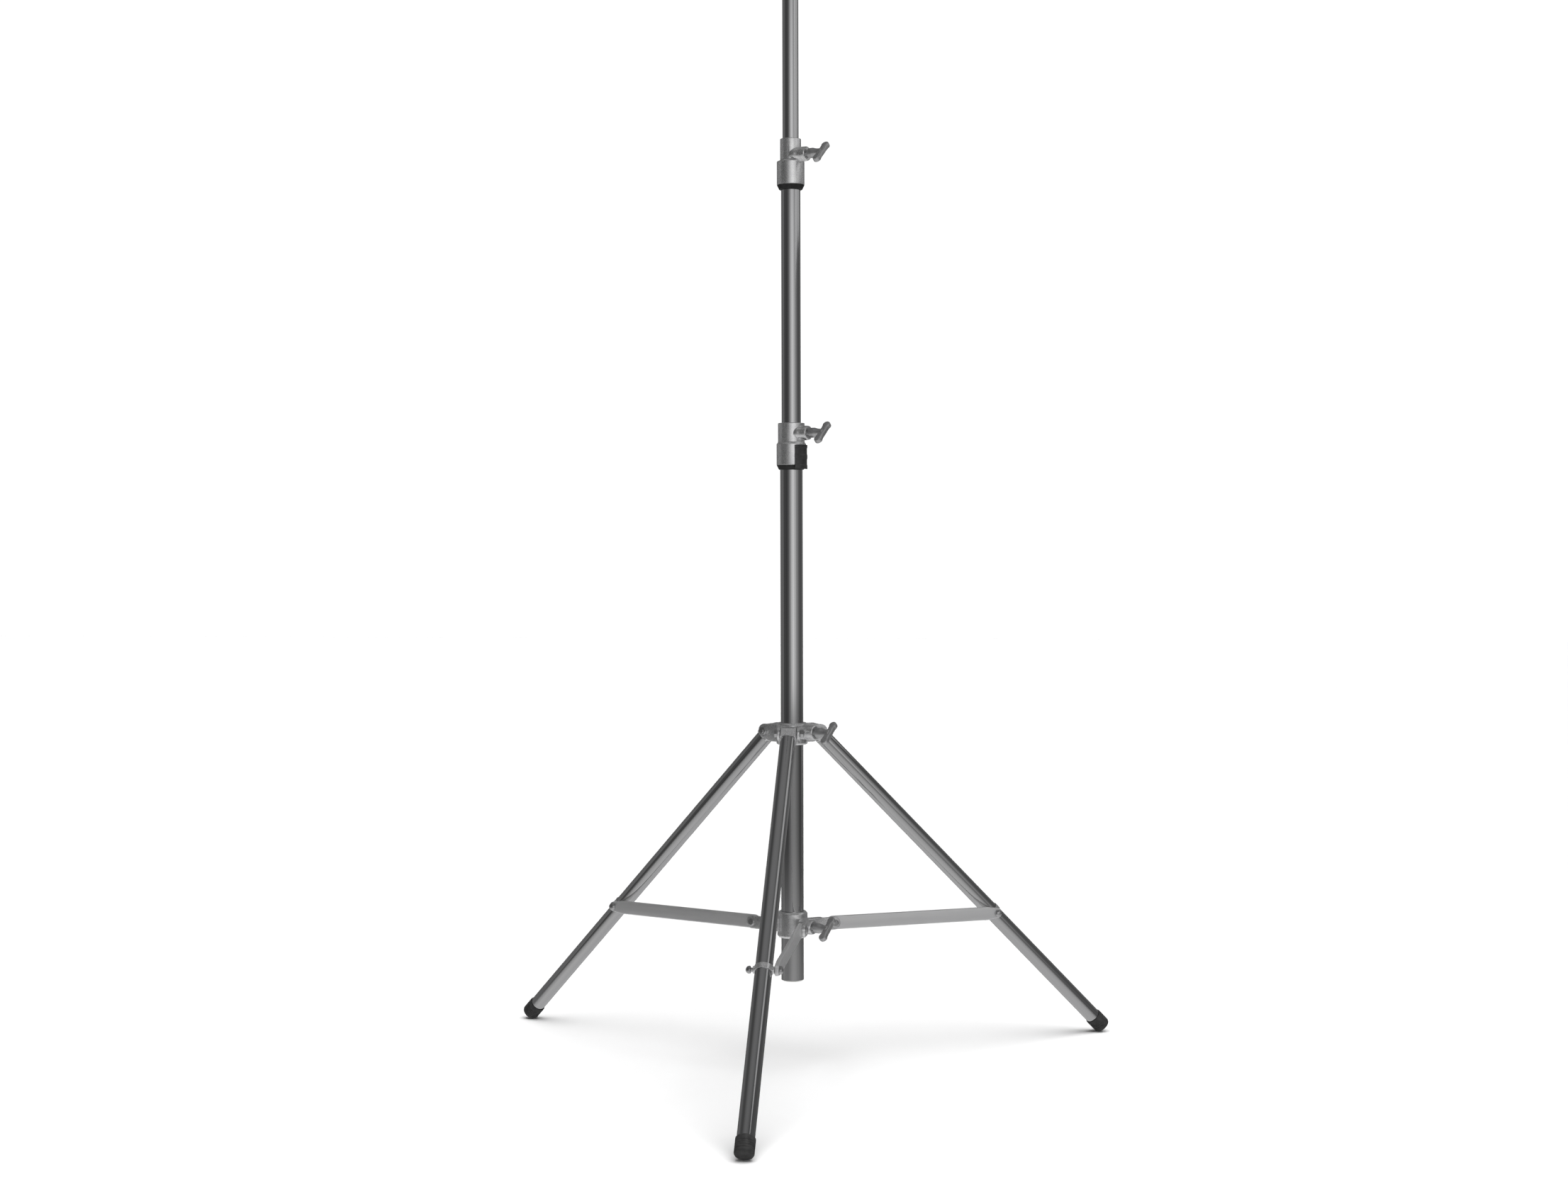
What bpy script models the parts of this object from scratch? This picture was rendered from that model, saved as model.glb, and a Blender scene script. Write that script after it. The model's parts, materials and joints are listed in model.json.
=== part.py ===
"""Telescopic lighting stand on a folding tripod base.

A base tube carries two risers, one inside the other. Each tube ends in a collar whose wing
screw clamps the riser above it. Three tubular legs hinge on a leg collar, and three flat
braces tie them to a second collar that slides lower down on the base tube.

Frame: metres, +Z up, floor at Z = 0, origin at the middle of the stand's bounding box on the
floor. One leg points along -Y, the other two at 30 and 150 degrees from +X.
"""

import math

import bmesh
import bpy
from mathutils import Matrix

# ---------------------------------------------------------------- driving dimensions, metres
GAP = 0.0003  # clearance between pieces that touch
SIDES = 32  # facets round the mast
SMALL_SIDES = 12  # facets round bolts and bosses
LEG_SIDES = 20  # facets round a leg
BOSS_SIDES = 20  # facets round the bosses on castings
SHARP = math.radians(35)

WALL = 0.0015
BASE_R, RISER_1_R, RISER_2_R = 0.0175, 0.0150, 0.0125  # 35, 30 and 25 mm tubes
BASE_BOTTOM = 0.132
LOWER_COLLAR_Z = 0.9275  # underside of the collar on the base tube
UPPER_COLLAR_Z = 1.3610  # underside of the collar on riser 1
TOP_SOCKET_Z = 1.7860
RISER_LENGTH = 0.850

LEG_AZIMUTHS = [math.radians(a) for a in (-90, 30, 150)]
LEG_R = 0.0125
LEG_PIVOT_R, LEG_PIVOT_Z = 0.042, 0.520
FOOT_END_R, FOOT_END_Z = 0.561, 0.008
LEG_TUBE_START = 0.014  # distance from the pivot, down the leg
FOOT_R, FOOT_LENGTH, FOOT_FLOOR, FOOT_ROUND = 0.01425, 0.026, 0.006, 0.003

BRACE_ON_LEG = 0.4356  # pivot to brace joint, down the leg
BRACE_PIVOT_R, BRACE_PIVOT_Z = 0.060, 0.2191
BRACE_OFFSET = 0.019  # each brace lies this far to one side of its leg
BRACE_SIDES = (1, -1, 1)  # leg 2 has its brace on the other side than legs 1 and 3
BRACE_HEIGHT, BRACE_THICK, BRACE_TIP_R, BRACE_TAPER = 0.021, 0.0064, 0.0080, 0.018
BRACE_HOLE_R, BRACE_PIN_R = 0.0033, 0.0030

KNOB_AZIMUTH = math.radians(-30)
KNOB_TURN = math.radians(46)  # how far each wing stands turned from upright
KNOB_REACH = 0.0235  # start of the hub to the middle of the wing
KNOB_STANDOFF = 0.0025  # bare thread between boss and hub
WING_LENGTH, WING_THICK, LOBE_R = 0.044, 0.0085, 0.0062
BOSS_R = 0.0115
SCREW_R, PAD_R, PAD_THICK = 0.0040, 0.0040, 0.0030
SCREW_IN_KNOB = 0.018

LEG_COLLAR_Z = (0.500, 0.534)
LEG_COLLAR_R = 0.0245
EAR_INNER, EAR_THICK, EAR_R = 0.0130, 0.0045, 0.011
PIVOT_R = 0.0040
LEG_COLLAR_KNOB_Z, LEG_COLLAR_WING_R = 0.520, 0.071

BRACE_COLLAR_Z = (0.198, 0.239)
BRACE_COLLAR_R = 0.0235
BRACE_COLLAR_KNOB_Z, BRACE_COLLAR_WING_R = 0.2165, 0.067
LUG_OUTER, LUG_THICK, LUG_END_R = 0.0275, 0.005, 0.010
COLLAR_BORE_R = 0.0180

LOWER_KNOB_Z, LOWER_WING_R = 0.984, 0.060
UPPER_KNOB_Z, UPPER_WING_R = 1.414, 0.0585
LOWER_SIZES = (0.0230, 0.02075, 0.0405, 0.0725, 0.0172)
UPPER_SIZES = (0.0215, 0.0163, 0.0435, 0.0785, 0.0139)

LEG_ANGLE = math.atan2(FOOT_END_R - LEG_PIVOT_R, LEG_PIVOT_Z - FOOT_END_Z)  # from vertical
LEG_LENGTH = math.hypot(FOOT_END_R - LEG_PIVOT_R, LEG_PIVOT_Z - FOOT_END_Z)
BRACE_REACH = LEG_PIVOT_R + BRACE_ON_LEG * math.sin(LEG_ANGLE) - BRACE_PIVOT_R
BRACE_DROP = BRACE_PIVOT_Z - LEG_PIVOT_Z + BRACE_ON_LEG * math.cos(LEG_ANGLE)
BRACE_LENGTH = math.hypot(BRACE_REACH, BRACE_DROP)


# ---------------------------------------------------------------- materials
def make_material(name, colour, metallic, roughness):
    material = bpy.data.materials.new(name)
    material.use_nodes = True
    shader = material.node_tree.nodes["Principled BSDF"]
    shader.inputs["Base Color"].default_value = (*colour, 1)
    shader.inputs["Metallic"].default_value = metallic
    shader.inputs["Roughness"].default_value = roughness
    material.diffuse_color = (*colour, 1)
    return material


def make_materials():
    return {
        "chrome": make_material("chromed_tube", (0.66, 0.66, 0.67), 1.0, 0.16),
        "casting": make_material("cast_collar", (0.70, 0.70, 0.71), 1.0, 0.34),
        "brace": make_material("brace_bar", (0.62, 0.62, 0.63), 1.0, 0.38),
        "knob": make_material("wing_knob", (0.36, 0.36, 0.37), 0.9, 0.42),
        "steel": make_material("bolt_steel", (0.55, 0.55, 0.56), 1.0, 0.30),
        "plastic": make_material("black_plastic", (0.02, 0.02, 0.02), 0.0, 0.45),
        "nylon": make_material("pale_nylon", (0.62, 0.62, 0.60), 0.0, 0.50),
        "brass": make_material("brass_pad", (0.60, 0.44, 0.18), 1.0, 0.35),
        "rubber": make_material("black_rubber", (0.025, 0.025, 0.025), 0.0, 0.75),
    }


# ---------------------------------------------------------------- shapes
def turned(profile, sides, ring=False):
    """A mesh turned about Z from (radius, height) points. A ring's profile closes on itself;
    any other profile starts and ends on the axis."""
    bm = bmesh.new()
    rows = []
    for radius, height in profile:
        if radius == 0:
            rows.append([bm.verts.new((0, 0, height))])
            continue
        angles = [2 * math.pi * k / sides for k in range(sides)]
        rows.append([bm.verts.new((radius * math.cos(a), radius * math.sin(a), height)) for a in angles])
    pairs = list(zip(rows, rows[1:]))
    if ring:
        pairs.append((rows[-1], rows[0]))
    for upper, lower in pairs:
        for k in range(sides):
            corners = [upper[k % len(upper)], upper[(k + 1) % len(upper)]]
            corners += [lower[(k + 1) % len(lower)], lower[k % len(lower)]]
            bm.faces.new(list(dict.fromkeys(corners)))
    return bm


def cylinder(radius, start, end, sides=SMALL_SIDES):
    return turned([(0, start), (radius, start), (radius, end), (0, end)], sides)


def prism(outline, low, high):
    """An outline in the XY plane, extruded along Z."""
    bm = bmesh.new()
    face = bm.faces.new([bm.verts.new((x, y, low)) for x, y in outline])
    made = bmesh.ops.extrude_face_region(bm, geom=[face])
    top = [v for v in made["geom"] if isinstance(v, bmesh.types.BMVert)]
    bmesh.ops.translate(bm, verts=top, vec=(0, 0, high - low))
    return bm


def arc(centre, radius, start_deg, end_deg, steps):
    """Points of an arc, both ends included."""
    angles = [math.radians(start_deg + (end_deg - start_deg) * k / steps) for k in range(steps + 1)]
    return [(centre[0] + radius * math.cos(a), centre[1] + radius * math.sin(a)) for a in angles]


def merge(*meshes):
    """Several meshes that stay clear of each other in one, for use as a Boolean's other operand."""
    whole = bmesh.new()
    for bm in meshes:
        part = bpy.data.meshes.new("part")
        bm.to_mesh(part)
        whole.from_mesh(part)
        bpy.data.meshes.remove(part)
    return whole


def turn_mesh(bm, axis, angle):
    bmesh.ops.transform(bm, matrix=Matrix.Rotation(angle, 4, axis), verts=bm.verts)
    return bm


def shift_mesh(bm, x=0, y=0, z=0):
    bmesh.ops.translate(bm, verts=bm.verts, vec=(x, y, z))
    return bm


def radial(bm, height=0):
    """Lays a mesh made along Z out along +X, at a height."""
    return shift_mesh(turn_mesh(bm, "Y", math.pi / 2), z=height)


def lateral(bm, x=0, z=0):
    """Lays a mesh made along Z out along +Y, at a place in the XZ plane."""
    return shift_mesh(turn_mesh(bm, "X", -math.pi / 2), x=x, z=z)


def to_side(bm, side):
    """Keeps a mesh as it is for side 1, and mirrors it to the other side of Y = 0 for side -1."""
    bmesh.ops.scale(bm, vec=(1, side, 1), verts=bm.verts)
    return bm


def upright(bm):
    """Stands a prism made in XY up in the XZ plane, its thickness running along -Y."""
    return turn_mesh(bm, "X", math.pi / 2)


def on_azimuth(bm, azimuth):
    return turn_mesh(bm, "Z", azimuth)


# ---------------------------------------------------------------- objects
def add_object(name, bm, material, parent):
    bmesh.ops.recalc_face_normals(bm, faces=bm.faces)
    mesh = bpy.data.meshes.new(name)
    bm.to_mesh(mesh)
    bm.free()
    mesh.shade_smooth()
    mesh.set_sharp_from_angle(angle=SHARP)
    obj = bpy.data.objects.new(name, mesh)
    bpy.context.scene.collection.objects.link(obj)
    if material:
        mesh.materials.append(material)
    obj.parent = parent
    return obj


def add_frame(name, location=(0, 0, 0), rotation=(0, 0, 0), parent=None):
    """An empty that carries the pieces of one assembly."""
    empty = bpy.data.objects.new(name, None)
    bpy.context.scene.collection.objects.link(empty)
    empty.location = location
    empty.rotation_euler = rotation
    empty.parent = parent
    return empty


def combine(obj, bm, operation):
    """Joins a helper mesh to an object, or cuts it away."""
    name = f"{obj.name}_{operation.lower()}_{len(obj.modifiers)}"
    helper = add_object(name, bm, None, obj.parent)
    helper.hide_render = True
    helper.display_type = "WIRE"
    modifier = obj.modifiers.new(helper.name, "BOOLEAN")
    modifier.operation = operation
    modifier.object = helper


def tube(name, radius, low, high, sides, material, parent):
    profile = [(radius, low), (radius, high), (radius - WALL, high), (radius - WALL, low)]
    return add_object(name, turned(profile, sides, ring=True), material, parent)


# ---------------------------------------------------------------- wing screws
def knob_axis_frame(name, height, parent):
    return add_frame(name, (0, 0, height), (0, 0, KNOB_AZIMUTH), parent)


def wing_outline():
    """The wing seen along its thickness: two round lobes and a slimmer waist."""
    reach = WING_LENGTH / 2 - LOBE_R
    right = arc((reach, 0), LOBE_R, -100, 100, 8)
    left = [(-x, -y) for x, y in right]
    waist_up, waist_down = [(0, 0.0042)], [(0, -0.0050)]
    return right + waist_up + left + waist_down


def wing_knob(prefix, wing_r, tube_r, frame, materials):
    """The knob, its screw and the brass pad that the screw presses on the tube. The frame's
    +X is the screw's axis. The knob and the screw turn together and the pad doesn't."""
    hub_start = wing_r - KNOB_REACH
    screw_start = tube_r + PAD_THICK + 2 * GAP
    screw_end = hub_start + SCREW_IN_KNOB
    hub = [
        (0, hub_start), (0.0068, hub_start), (0.0078, hub_start + 0.001), (0.0078, hub_start + 0.010),
        (0.0058, hub_start + 0.0165), (0.0058, wing_r + 0.002), (0, wing_r + 0.002),
    ]  # fmt: skip
    knob = add_object(f"{prefix}_knob", radial(turned(hub, SMALL_SIDES)), materials["knob"], frame)
    wing = prism(wing_outline(), -WING_THICK / 2, WING_THICK / 2)
    edges = [e for e in wing.edges if abs(e.verts[0].co.z - e.verts[1].co.z) < GAP]
    bmesh.ops.bevel(wing, geom=edges, offset=0.0022, segments=2, affect="EDGES", profile=0.5)
    turn_mesh(wing, "Z", -math.pi / 2)  # the lobes now lie along Y and the waist across X
    shift_mesh(turn_mesh(wing, "X", math.pi / 2 - KNOB_TURN), x=wing_r)
    combine(knob, wing, "UNION")
    combine(knob, radial(cylinder(SCREW_R + GAP, hub_start - 0.01, screw_end + GAP)), "DIFFERENCE")
    screw = cylinder(SCREW_R, screw_start, screw_end)
    add_object(f"{prefix}_screw", radial(screw), materials["steel"], frame)
    pad = cylinder(PAD_R, tube_r + GAP, tube_r + GAP + PAD_THICK)
    add_object(f"{prefix}_pad", radial(pad), materials["brass"], frame)


def add_boss(collar, wing_r, height, tube_r):
    """The round boss of a wing screw, and the hole through it. Both lie along the knob's axis."""
    end = wing_r - KNOB_REACH - KNOB_STANDOFF
    boss = [(0, 0), (BOSS_R, 0), (BOSS_R, end - 0.001), (BOSS_R - 0.001, end), (0, end)]
    combine(collar, on_azimuth(radial(turned(boss, BOSS_SIDES), height), KNOB_AZIMUTH), "UNION")
    hole = cylinder(PAD_R + 0.0004, tube_r - 0.005, end + 0.01)
    return on_azimuth(radial(hole, height), KNOB_AZIMUTH)


# ---------------------------------------------------------------- mast
def riser_collar(prefix, heights, wing_r, sizes, tubes, parent, materials):
    """A collar pressed on a tube's top end, with a bush that guides the riser above it. The sizes
    are the radii below and above the shoulder, the shoulder's height, the height and the bush's
    radius."""
    z, knob_z = heights
    tube_r, riser_r = tubes
    lower_r, upper_r, lower_height, height, bush_r = sizes
    chamfer, chamfer_in, edge, lip = 0.0075, 0.0036, 0.0010, 0.0020
    shoulder = z + lower_height
    top = z + height
    outside = [
        (0, z), (lower_r - chamfer_in, z), (lower_r, z + chamfer), (lower_r, shoulder - edge),
        (lower_r - edge, shoulder), (upper_r, shoulder + edge), (upper_r, top - edge),
        (upper_r - edge, top), (0, top),
    ]  # fmt: skip
    collar = add_object(prefix, turned(outside, SIDES), materials["casting"], parent)
    screw_hole = add_boss(collar, wing_r, knob_z, riser_r)
    bore = [
        (0, z - 0.01), (tube_r + GAP, z - 0.01), (tube_r + GAP, shoulder),
        (bush_r + GAP, shoulder + GAP), (bush_r + GAP, top - lip), (riser_r + 2 * GAP, top - lip),
        (riser_r + 2 * GAP, top + 0.01), (0, top + 0.01),
    ]  # fmt: skip
    combine(collar, screw_hole.copy(), "DIFFERENCE")
    combine(collar, turned(bore, SIDES), "DIFFERENCE")
    low, high, inner_r = shoulder + 2 * GAP, top - lip - GAP, riser_r + GAP
    bush_mesh = turned([(bush_r, low), (bush_r, high), (inner_r, high), (inner_r, low)], SIDES, ring=True)
    bush = add_object(f"{prefix}_bush", bush_mesh, materials["nylon"], parent)
    combine(bush, screw_hole, "DIFFERENCE")


def riser_guide(name, tube_r, outer_r, z, parent, materials):
    """The nylon plug on a riser's lower end that slides in the tube outside it."""
    inner_r = tube_r - WALL - GAP
    profile = [(0, z - 0.008), (outer_r, z - 0.008), (outer_r, z - GAP)]
    profile += [(inner_r, z - GAP), (inner_r, z + 0.015), (0, z + 0.015)]
    add_object(name, turned(profile, SIDES), materials["nylon"], parent)


def make_mast(stand, materials):
    mast = add_frame("mast_frame", parent=stand)
    base_top = LOWER_COLLAR_Z + LOWER_SIZES[2] - GAP
    tube("base_tube", BASE_R, BASE_BOTTOM, base_top, SIDES, materials["chrome"], mast)
    plug_r = BASE_R - WALL - GAP
    dome = [(BASE_R * math.cos(t), BASE_BOTTOM - GAP - 0.0035 * math.sin(t)) for t in (0, 0.35, 0.7, 1.05)]
    plug = [(0, BASE_BOTTOM + 0.020), (plug_r, BASE_BOTTOM + 0.020), (plug_r, BASE_BOTTOM - GAP)] + dome
    plug += [(0, BASE_BOTTOM - GAP - 0.0035)]
    add_object("base_tube_plug", turned(plug, SIDES), materials["nylon"], mast)
    tubes = (BASE_R, RISER_1_R)
    heights = (LOWER_COLLAR_Z, LOWER_KNOB_Z)
    riser_collar("lower_collar", heights, LOWER_WING_R, LOWER_SIZES, tubes, mast, materials)
    make_collar_cover(mast, materials)
    knob_frame = knob_axis_frame("lower_knob_frame", LOWER_KNOB_Z, mast)
    wing_knob("lower_collar", LOWER_WING_R, RISER_1_R, knob_frame, materials)

    riser_1 = add_frame("riser_1_frame", parent=mast)
    top_1 = UPPER_COLLAR_Z + UPPER_SIZES[2] - GAP
    tube("riser_1_tube", RISER_1_R, top_1 - RISER_LENGTH, top_1, SIDES, materials["chrome"], riser_1)
    outer_r = BASE_R - WALL - GAP
    riser_guide("riser_1_guide", RISER_1_R, outer_r, top_1 - RISER_LENGTH, riser_1, materials)
    tubes = (RISER_1_R, RISER_2_R)
    heights = (UPPER_COLLAR_Z, UPPER_KNOB_Z)
    riser_collar("upper_collar", heights, UPPER_WING_R, UPPER_SIZES, tubes, riser_1, materials)
    knob_frame = knob_axis_frame("upper_knob_frame", UPPER_KNOB_Z, riser_1)
    wing_knob("upper_collar", UPPER_WING_R, RISER_2_R, knob_frame, materials)

    riser_2 = add_frame("riser_2_frame", parent=riser_1)
    top_2 = TOP_SOCKET_Z + 0.020
    tube("riser_2_tube", RISER_2_R, top_2 - RISER_LENGTH, top_2, SIDES, materials["chrome"], riser_2)
    outer_r = RISER_1_R - WALL - GAP
    riser_guide("riser_2_guide", RISER_2_R, outer_r, top_2 - RISER_LENGTH, riser_2, materials)
    make_top(riser_2, top_2, materials)


def make_collar_cover(mast, materials):
    """A plain black cover that wraps one side of the lower collar, under its wing screw."""
    inner_r, outer_r = 0.0233, 0.0250
    start, end = -70, 15
    outline = arc((0, 0), outer_r, start, end, 12) + arc((0, 0), inner_r, end, start, 12)
    cover = prism(outline, LOWER_COLLAR_Z + 0.001, LOWER_COLLAR_Z + 0.0385)
    add_object("lower_collar_cover", cover, materials["plastic"], mast)


def make_top(riser_2, tube_top, materials):
    """The socket pressed on riser 2 and the lamp stud that stands in it."""
    z = TOP_SOCKET_Z
    outside = [
        (0, z), (0.0148, z), (0.0163, z + 0.003), (0.0163, z + 0.030), (0.0145, z + 0.036), (0, z + 0.036),
    ]  # fmt: skip
    socket = add_object("top_socket", turned(outside, SIDES), materials["casting"], riser_2)
    stud_r, tail_r, waist_r = 0.008, 0.006, 0.0066
    base = z + 0.036 + GAP
    combine(socket, cylinder(tail_r + GAP, base - 0.012, base + 0.01), "DIFFERENCE")
    bore_r, bore_top = RISER_2_R + GAP, tube_top + GAP
    bore = [(0, z - 0.01), (bore_r, z - 0.01), (bore_r, bore_top), (0, bore_top)]
    combine(socket, turned(bore, SIDES), "DIFFERENCE")
    stud = [
        (0, base - 0.011), (tail_r, base - 0.011), (tail_r, base), (stud_r, base), (stud_r, base + 0.009),
        (waist_r, base + 0.0115), (waist_r, base + 0.0205), (stud_r, base + 0.023), (stud_r, base + 0.0375),
        (stud_r - 0.0015, base + 0.039), (0, base + 0.039),
    ]  # fmt: skip
    add_object("top_stud", turned(stud, SIDES), materials["steel"], riser_2)


# ---------------------------------------------------------------- tripod
def pivot_bolt(prefix, frame, span, materials):
    """The hinge bolt of one leg and its nut, across both ears."""
    head = cylinder(0.0062, -span - 0.0048, -span - GAP, 6)
    shank = cylinder(PIVOT_R, -span - 0.002, span + 0.0070)
    bolt = add_object(f"{prefix}_bolt", lateral(head), materials["steel"], frame)
    combine(bolt, lateral(shank), "UNION")
    hexagon = cylinder(0.0066, span + GAP, span + 0.0055, 6)
    nut = add_object(f"{prefix}_nut", lateral(hexagon), materials["steel"], frame)
    combine(nut, lateral(cylinder(PIVOT_R + GAP, span - 0.005, span + 0.01)), "DIFFERENCE")


def ear_outline():
    """One ear in the radial plane, from inside the collar's wall round the pivot."""
    low, high = LEG_COLLAR_Z[0] + 0.004, LEG_PIVOT_Z + EAR_R
    round_end = arc((LEG_PIVOT_R, LEG_PIVOT_Z), EAR_R, -90, 90, 10)
    return [(0.012, low), (LEG_PIVOT_R - 0.012, low)] + round_end + [(0.012, high)]


def make_leg_collar(stand, materials):
    low, high = LEG_COLLAR_Z
    outside = [
        (0, low), (LEG_COLLAR_R - 0.0015, low), (LEG_COLLAR_R, low + 0.002),
        (LEG_COLLAR_R, high - 0.003), (LEG_COLLAR_R - 0.0025, high), (0, high),
    ]  # fmt: skip
    collar = add_object("leg_collar", turned(outside, SIDES), materials["casting"], stand)
    ears, holes = [], []
    for azimuth in LEG_AZIMUTHS:
        for side in (-1, 1):
            near, far = sorted((side * EAR_INNER, side * (EAR_INNER + EAR_THICK)))
            ears.append(on_azimuth(upright(prism(ear_outline(), near, far)), azimuth))
        hole = lateral(cylinder(PIVOT_R + GAP, -0.03, 0.03), x=LEG_PIVOT_R, z=LEG_PIVOT_Z)
        holes.append(on_azimuth(hole, azimuth))
    combine(collar, merge(*ears), "UNION")
    screw_hole = add_boss(collar, LEG_COLLAR_WING_R, LEG_COLLAR_KNOB_Z, BASE_R)
    combine(collar, merge(screw_hole, *holes), "DIFFERENCE")
    combine(collar, cylinder(COLLAR_BORE_R, low - 0.01, high + 0.01, SIDES), "DIFFERENCE")
    frame = knob_axis_frame("leg_collar_knob_frame", LEG_COLLAR_KNOB_Z, stand)
    wing_knob("leg_collar", LEG_COLLAR_WING_R, BASE_R, frame, materials)
    for number, azimuth in enumerate(LEG_AZIMUTHS, 1):
        place = (LEG_PIVOT_R * math.cos(azimuth), LEG_PIVOT_R * math.sin(azimuth), LEG_PIVOT_Z)
        pivot = add_frame(f"leg_pivot_frame_{number}", place, (0, 0, azimuth), stand)
        pivot_bolt(f"leg_pivot_{number}", pivot, EAR_INNER + EAR_THICK, materials)


def make_leg(number, azimuth, stand, floor, materials):
    """One leg. Its frame sits on the pivot, with +Z down the leg and +Y to its side."""
    place = (LEG_PIVOT_R * math.cos(azimuth), LEG_PIVOT_R * math.sin(azimuth), LEG_PIVOT_Z)
    leg = add_frame(f"leg_{number}_frame", place, (0, math.pi - LEG_ANGLE, azimuth), stand)
    end = LEG_LENGTH - FOOT_FLOOR - GAP
    leg_tube = tube(f"leg_{number}_tube", LEG_R, LEG_TUBE_START, end, LEG_SIDES, materials["chrome"], leg)
    combine(leg_tube, lateral(cylinder(BRACE_HOLE_R, -0.03, 0.03), z=BRACE_ON_LEG), "DIFFERENCE")

    tongue_r, stem_start = 0.0105, LEG_TUBE_START - GAP
    tongue = arc((0, 0), tongue_r, 90, 270, 12) + [(stem_start, -tongue_r), (stem_start, tongue_r)]
    hinge = add_object(
        f"leg_{number}_hinge_plug",
        turn_mesh(upright(prism(tongue, -0.012, 0.012)), "Y", -math.pi / 2),
        materials["casting"],
        leg,
    )
    stem_r = LEG_R - WALL - GAP
    stem = [(0, 0.0115), (LEG_R, 0.0115), (LEG_R, stem_start), (stem_r, stem_start)]
    stem += [(stem_r, 0.034), (0, 0.034)]
    combine(hinge, turned(stem, LEG_SIDES), "UNION")
    combine(hinge, lateral(cylinder(PIVOT_R + GAP, -0.03, 0.03)), "DIFFERENCE")

    corner = arc((LEG_LENGTH - FOOT_ROUND, FOOT_R - FOOT_ROUND), FOOT_ROUND, 90, 0, 3)
    foot = [(radius, height) for height, radius in corner]
    foot = [(FOOT_R - 0.0008, LEG_LENGTH - FOOT_LENGTH), (FOOT_R, LEG_LENGTH - FOOT_LENGTH + 0.001)] + foot
    foot += [(0, LEG_LENGTH), (0, LEG_LENGTH - FOOT_FLOOR)]
    foot += [(LEG_R + GAP, LEG_LENGTH - FOOT_FLOOR), (LEG_R + GAP, LEG_LENGTH - FOOT_LENGTH)]
    rubber = add_object(f"leg_{number}_foot", foot_mesh(foot), materials["rubber"], leg)
    modifier = rubber.modifiers.new("floor", "BOOLEAN")
    modifier.operation = "DIFFERENCE"
    modifier.object = floor

    make_brace_clamp(number, leg, materials)


def foot_mesh(profile):
    """The foot's profile leaves the axis at its outer face and comes back to it inside."""
    on_axis = [k for k, point in enumerate(profile) if point[0] == 0]
    first = on_axis[0]
    return turned(profile[on_axis[1] :] + profile[: first + 1], LEG_SIDES)


def make_brace_clamp(number, leg, materials):
    """The band round the leg that carries the brace, and the bolt through both."""
    half, outer_r, boss_r, boss_end, chamfer = 0.0045, 0.0138, 0.0052, 0.0154, 0.0005
    low, high = BRACE_ON_LEG - half, BRACE_ON_LEG + half
    outside = [(0, low), (outer_r - chamfer, low), (outer_r, low + chamfer), (outer_r, high - chamfer)]
    outside += [(outer_r - chamfer, high), (0, high)]
    band = add_object(f"leg_{number}_brace_clamp", turned(outside, LEG_SIDES), materials["casting"], leg)
    combine(band, lateral(cylinder(boss_r, -boss_end, boss_end, BOSS_SIDES), z=BRACE_ON_LEG), "UNION")
    combine(band, lateral(cylinder(BRACE_HOLE_R, -0.03, 0.03), z=BRACE_ON_LEG), "DIFFERENCE")
    combine(band, cylinder(LEG_R + GAP, low - 0.01, high + 0.01, LEG_SIDES), "DIFFERENCE")
    bolt = [
        (0, -0.0256), (0.0030, -0.0251), (0.0048, -0.0236), (0.0056, -0.0212), (0.0056, -0.0190),
        (0.0046, -0.0183), (BRACE_PIN_R, -0.0183), (BRACE_PIN_R, boss_end - GAP), (0, boss_end - GAP),
    ]  # fmt: skip
    bolt_mesh = to_side(lateral(turned(bolt, SMALL_SIDES), z=BRACE_ON_LEG), BRACE_SIDES[number - 1])
    add_object(f"leg_{number}_brace_bolt", bolt_mesh, materials["steel"], leg)


def brace_outline():
    """The bar seen from its side: full height at the collar, narrower towards the leg."""
    half = BRACE_HEIGHT / 2
    tip = arc((BRACE_LENGTH, 0), BRACE_TIP_R, -90, 90, 10)
    heel = arc((0, 0), half, 90, 270, 10)
    return tip + [(BRACE_LENGTH - BRACE_TAPER, half)] + heel + [(BRACE_LENGTH - BRACE_TAPER, -half)]


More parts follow.
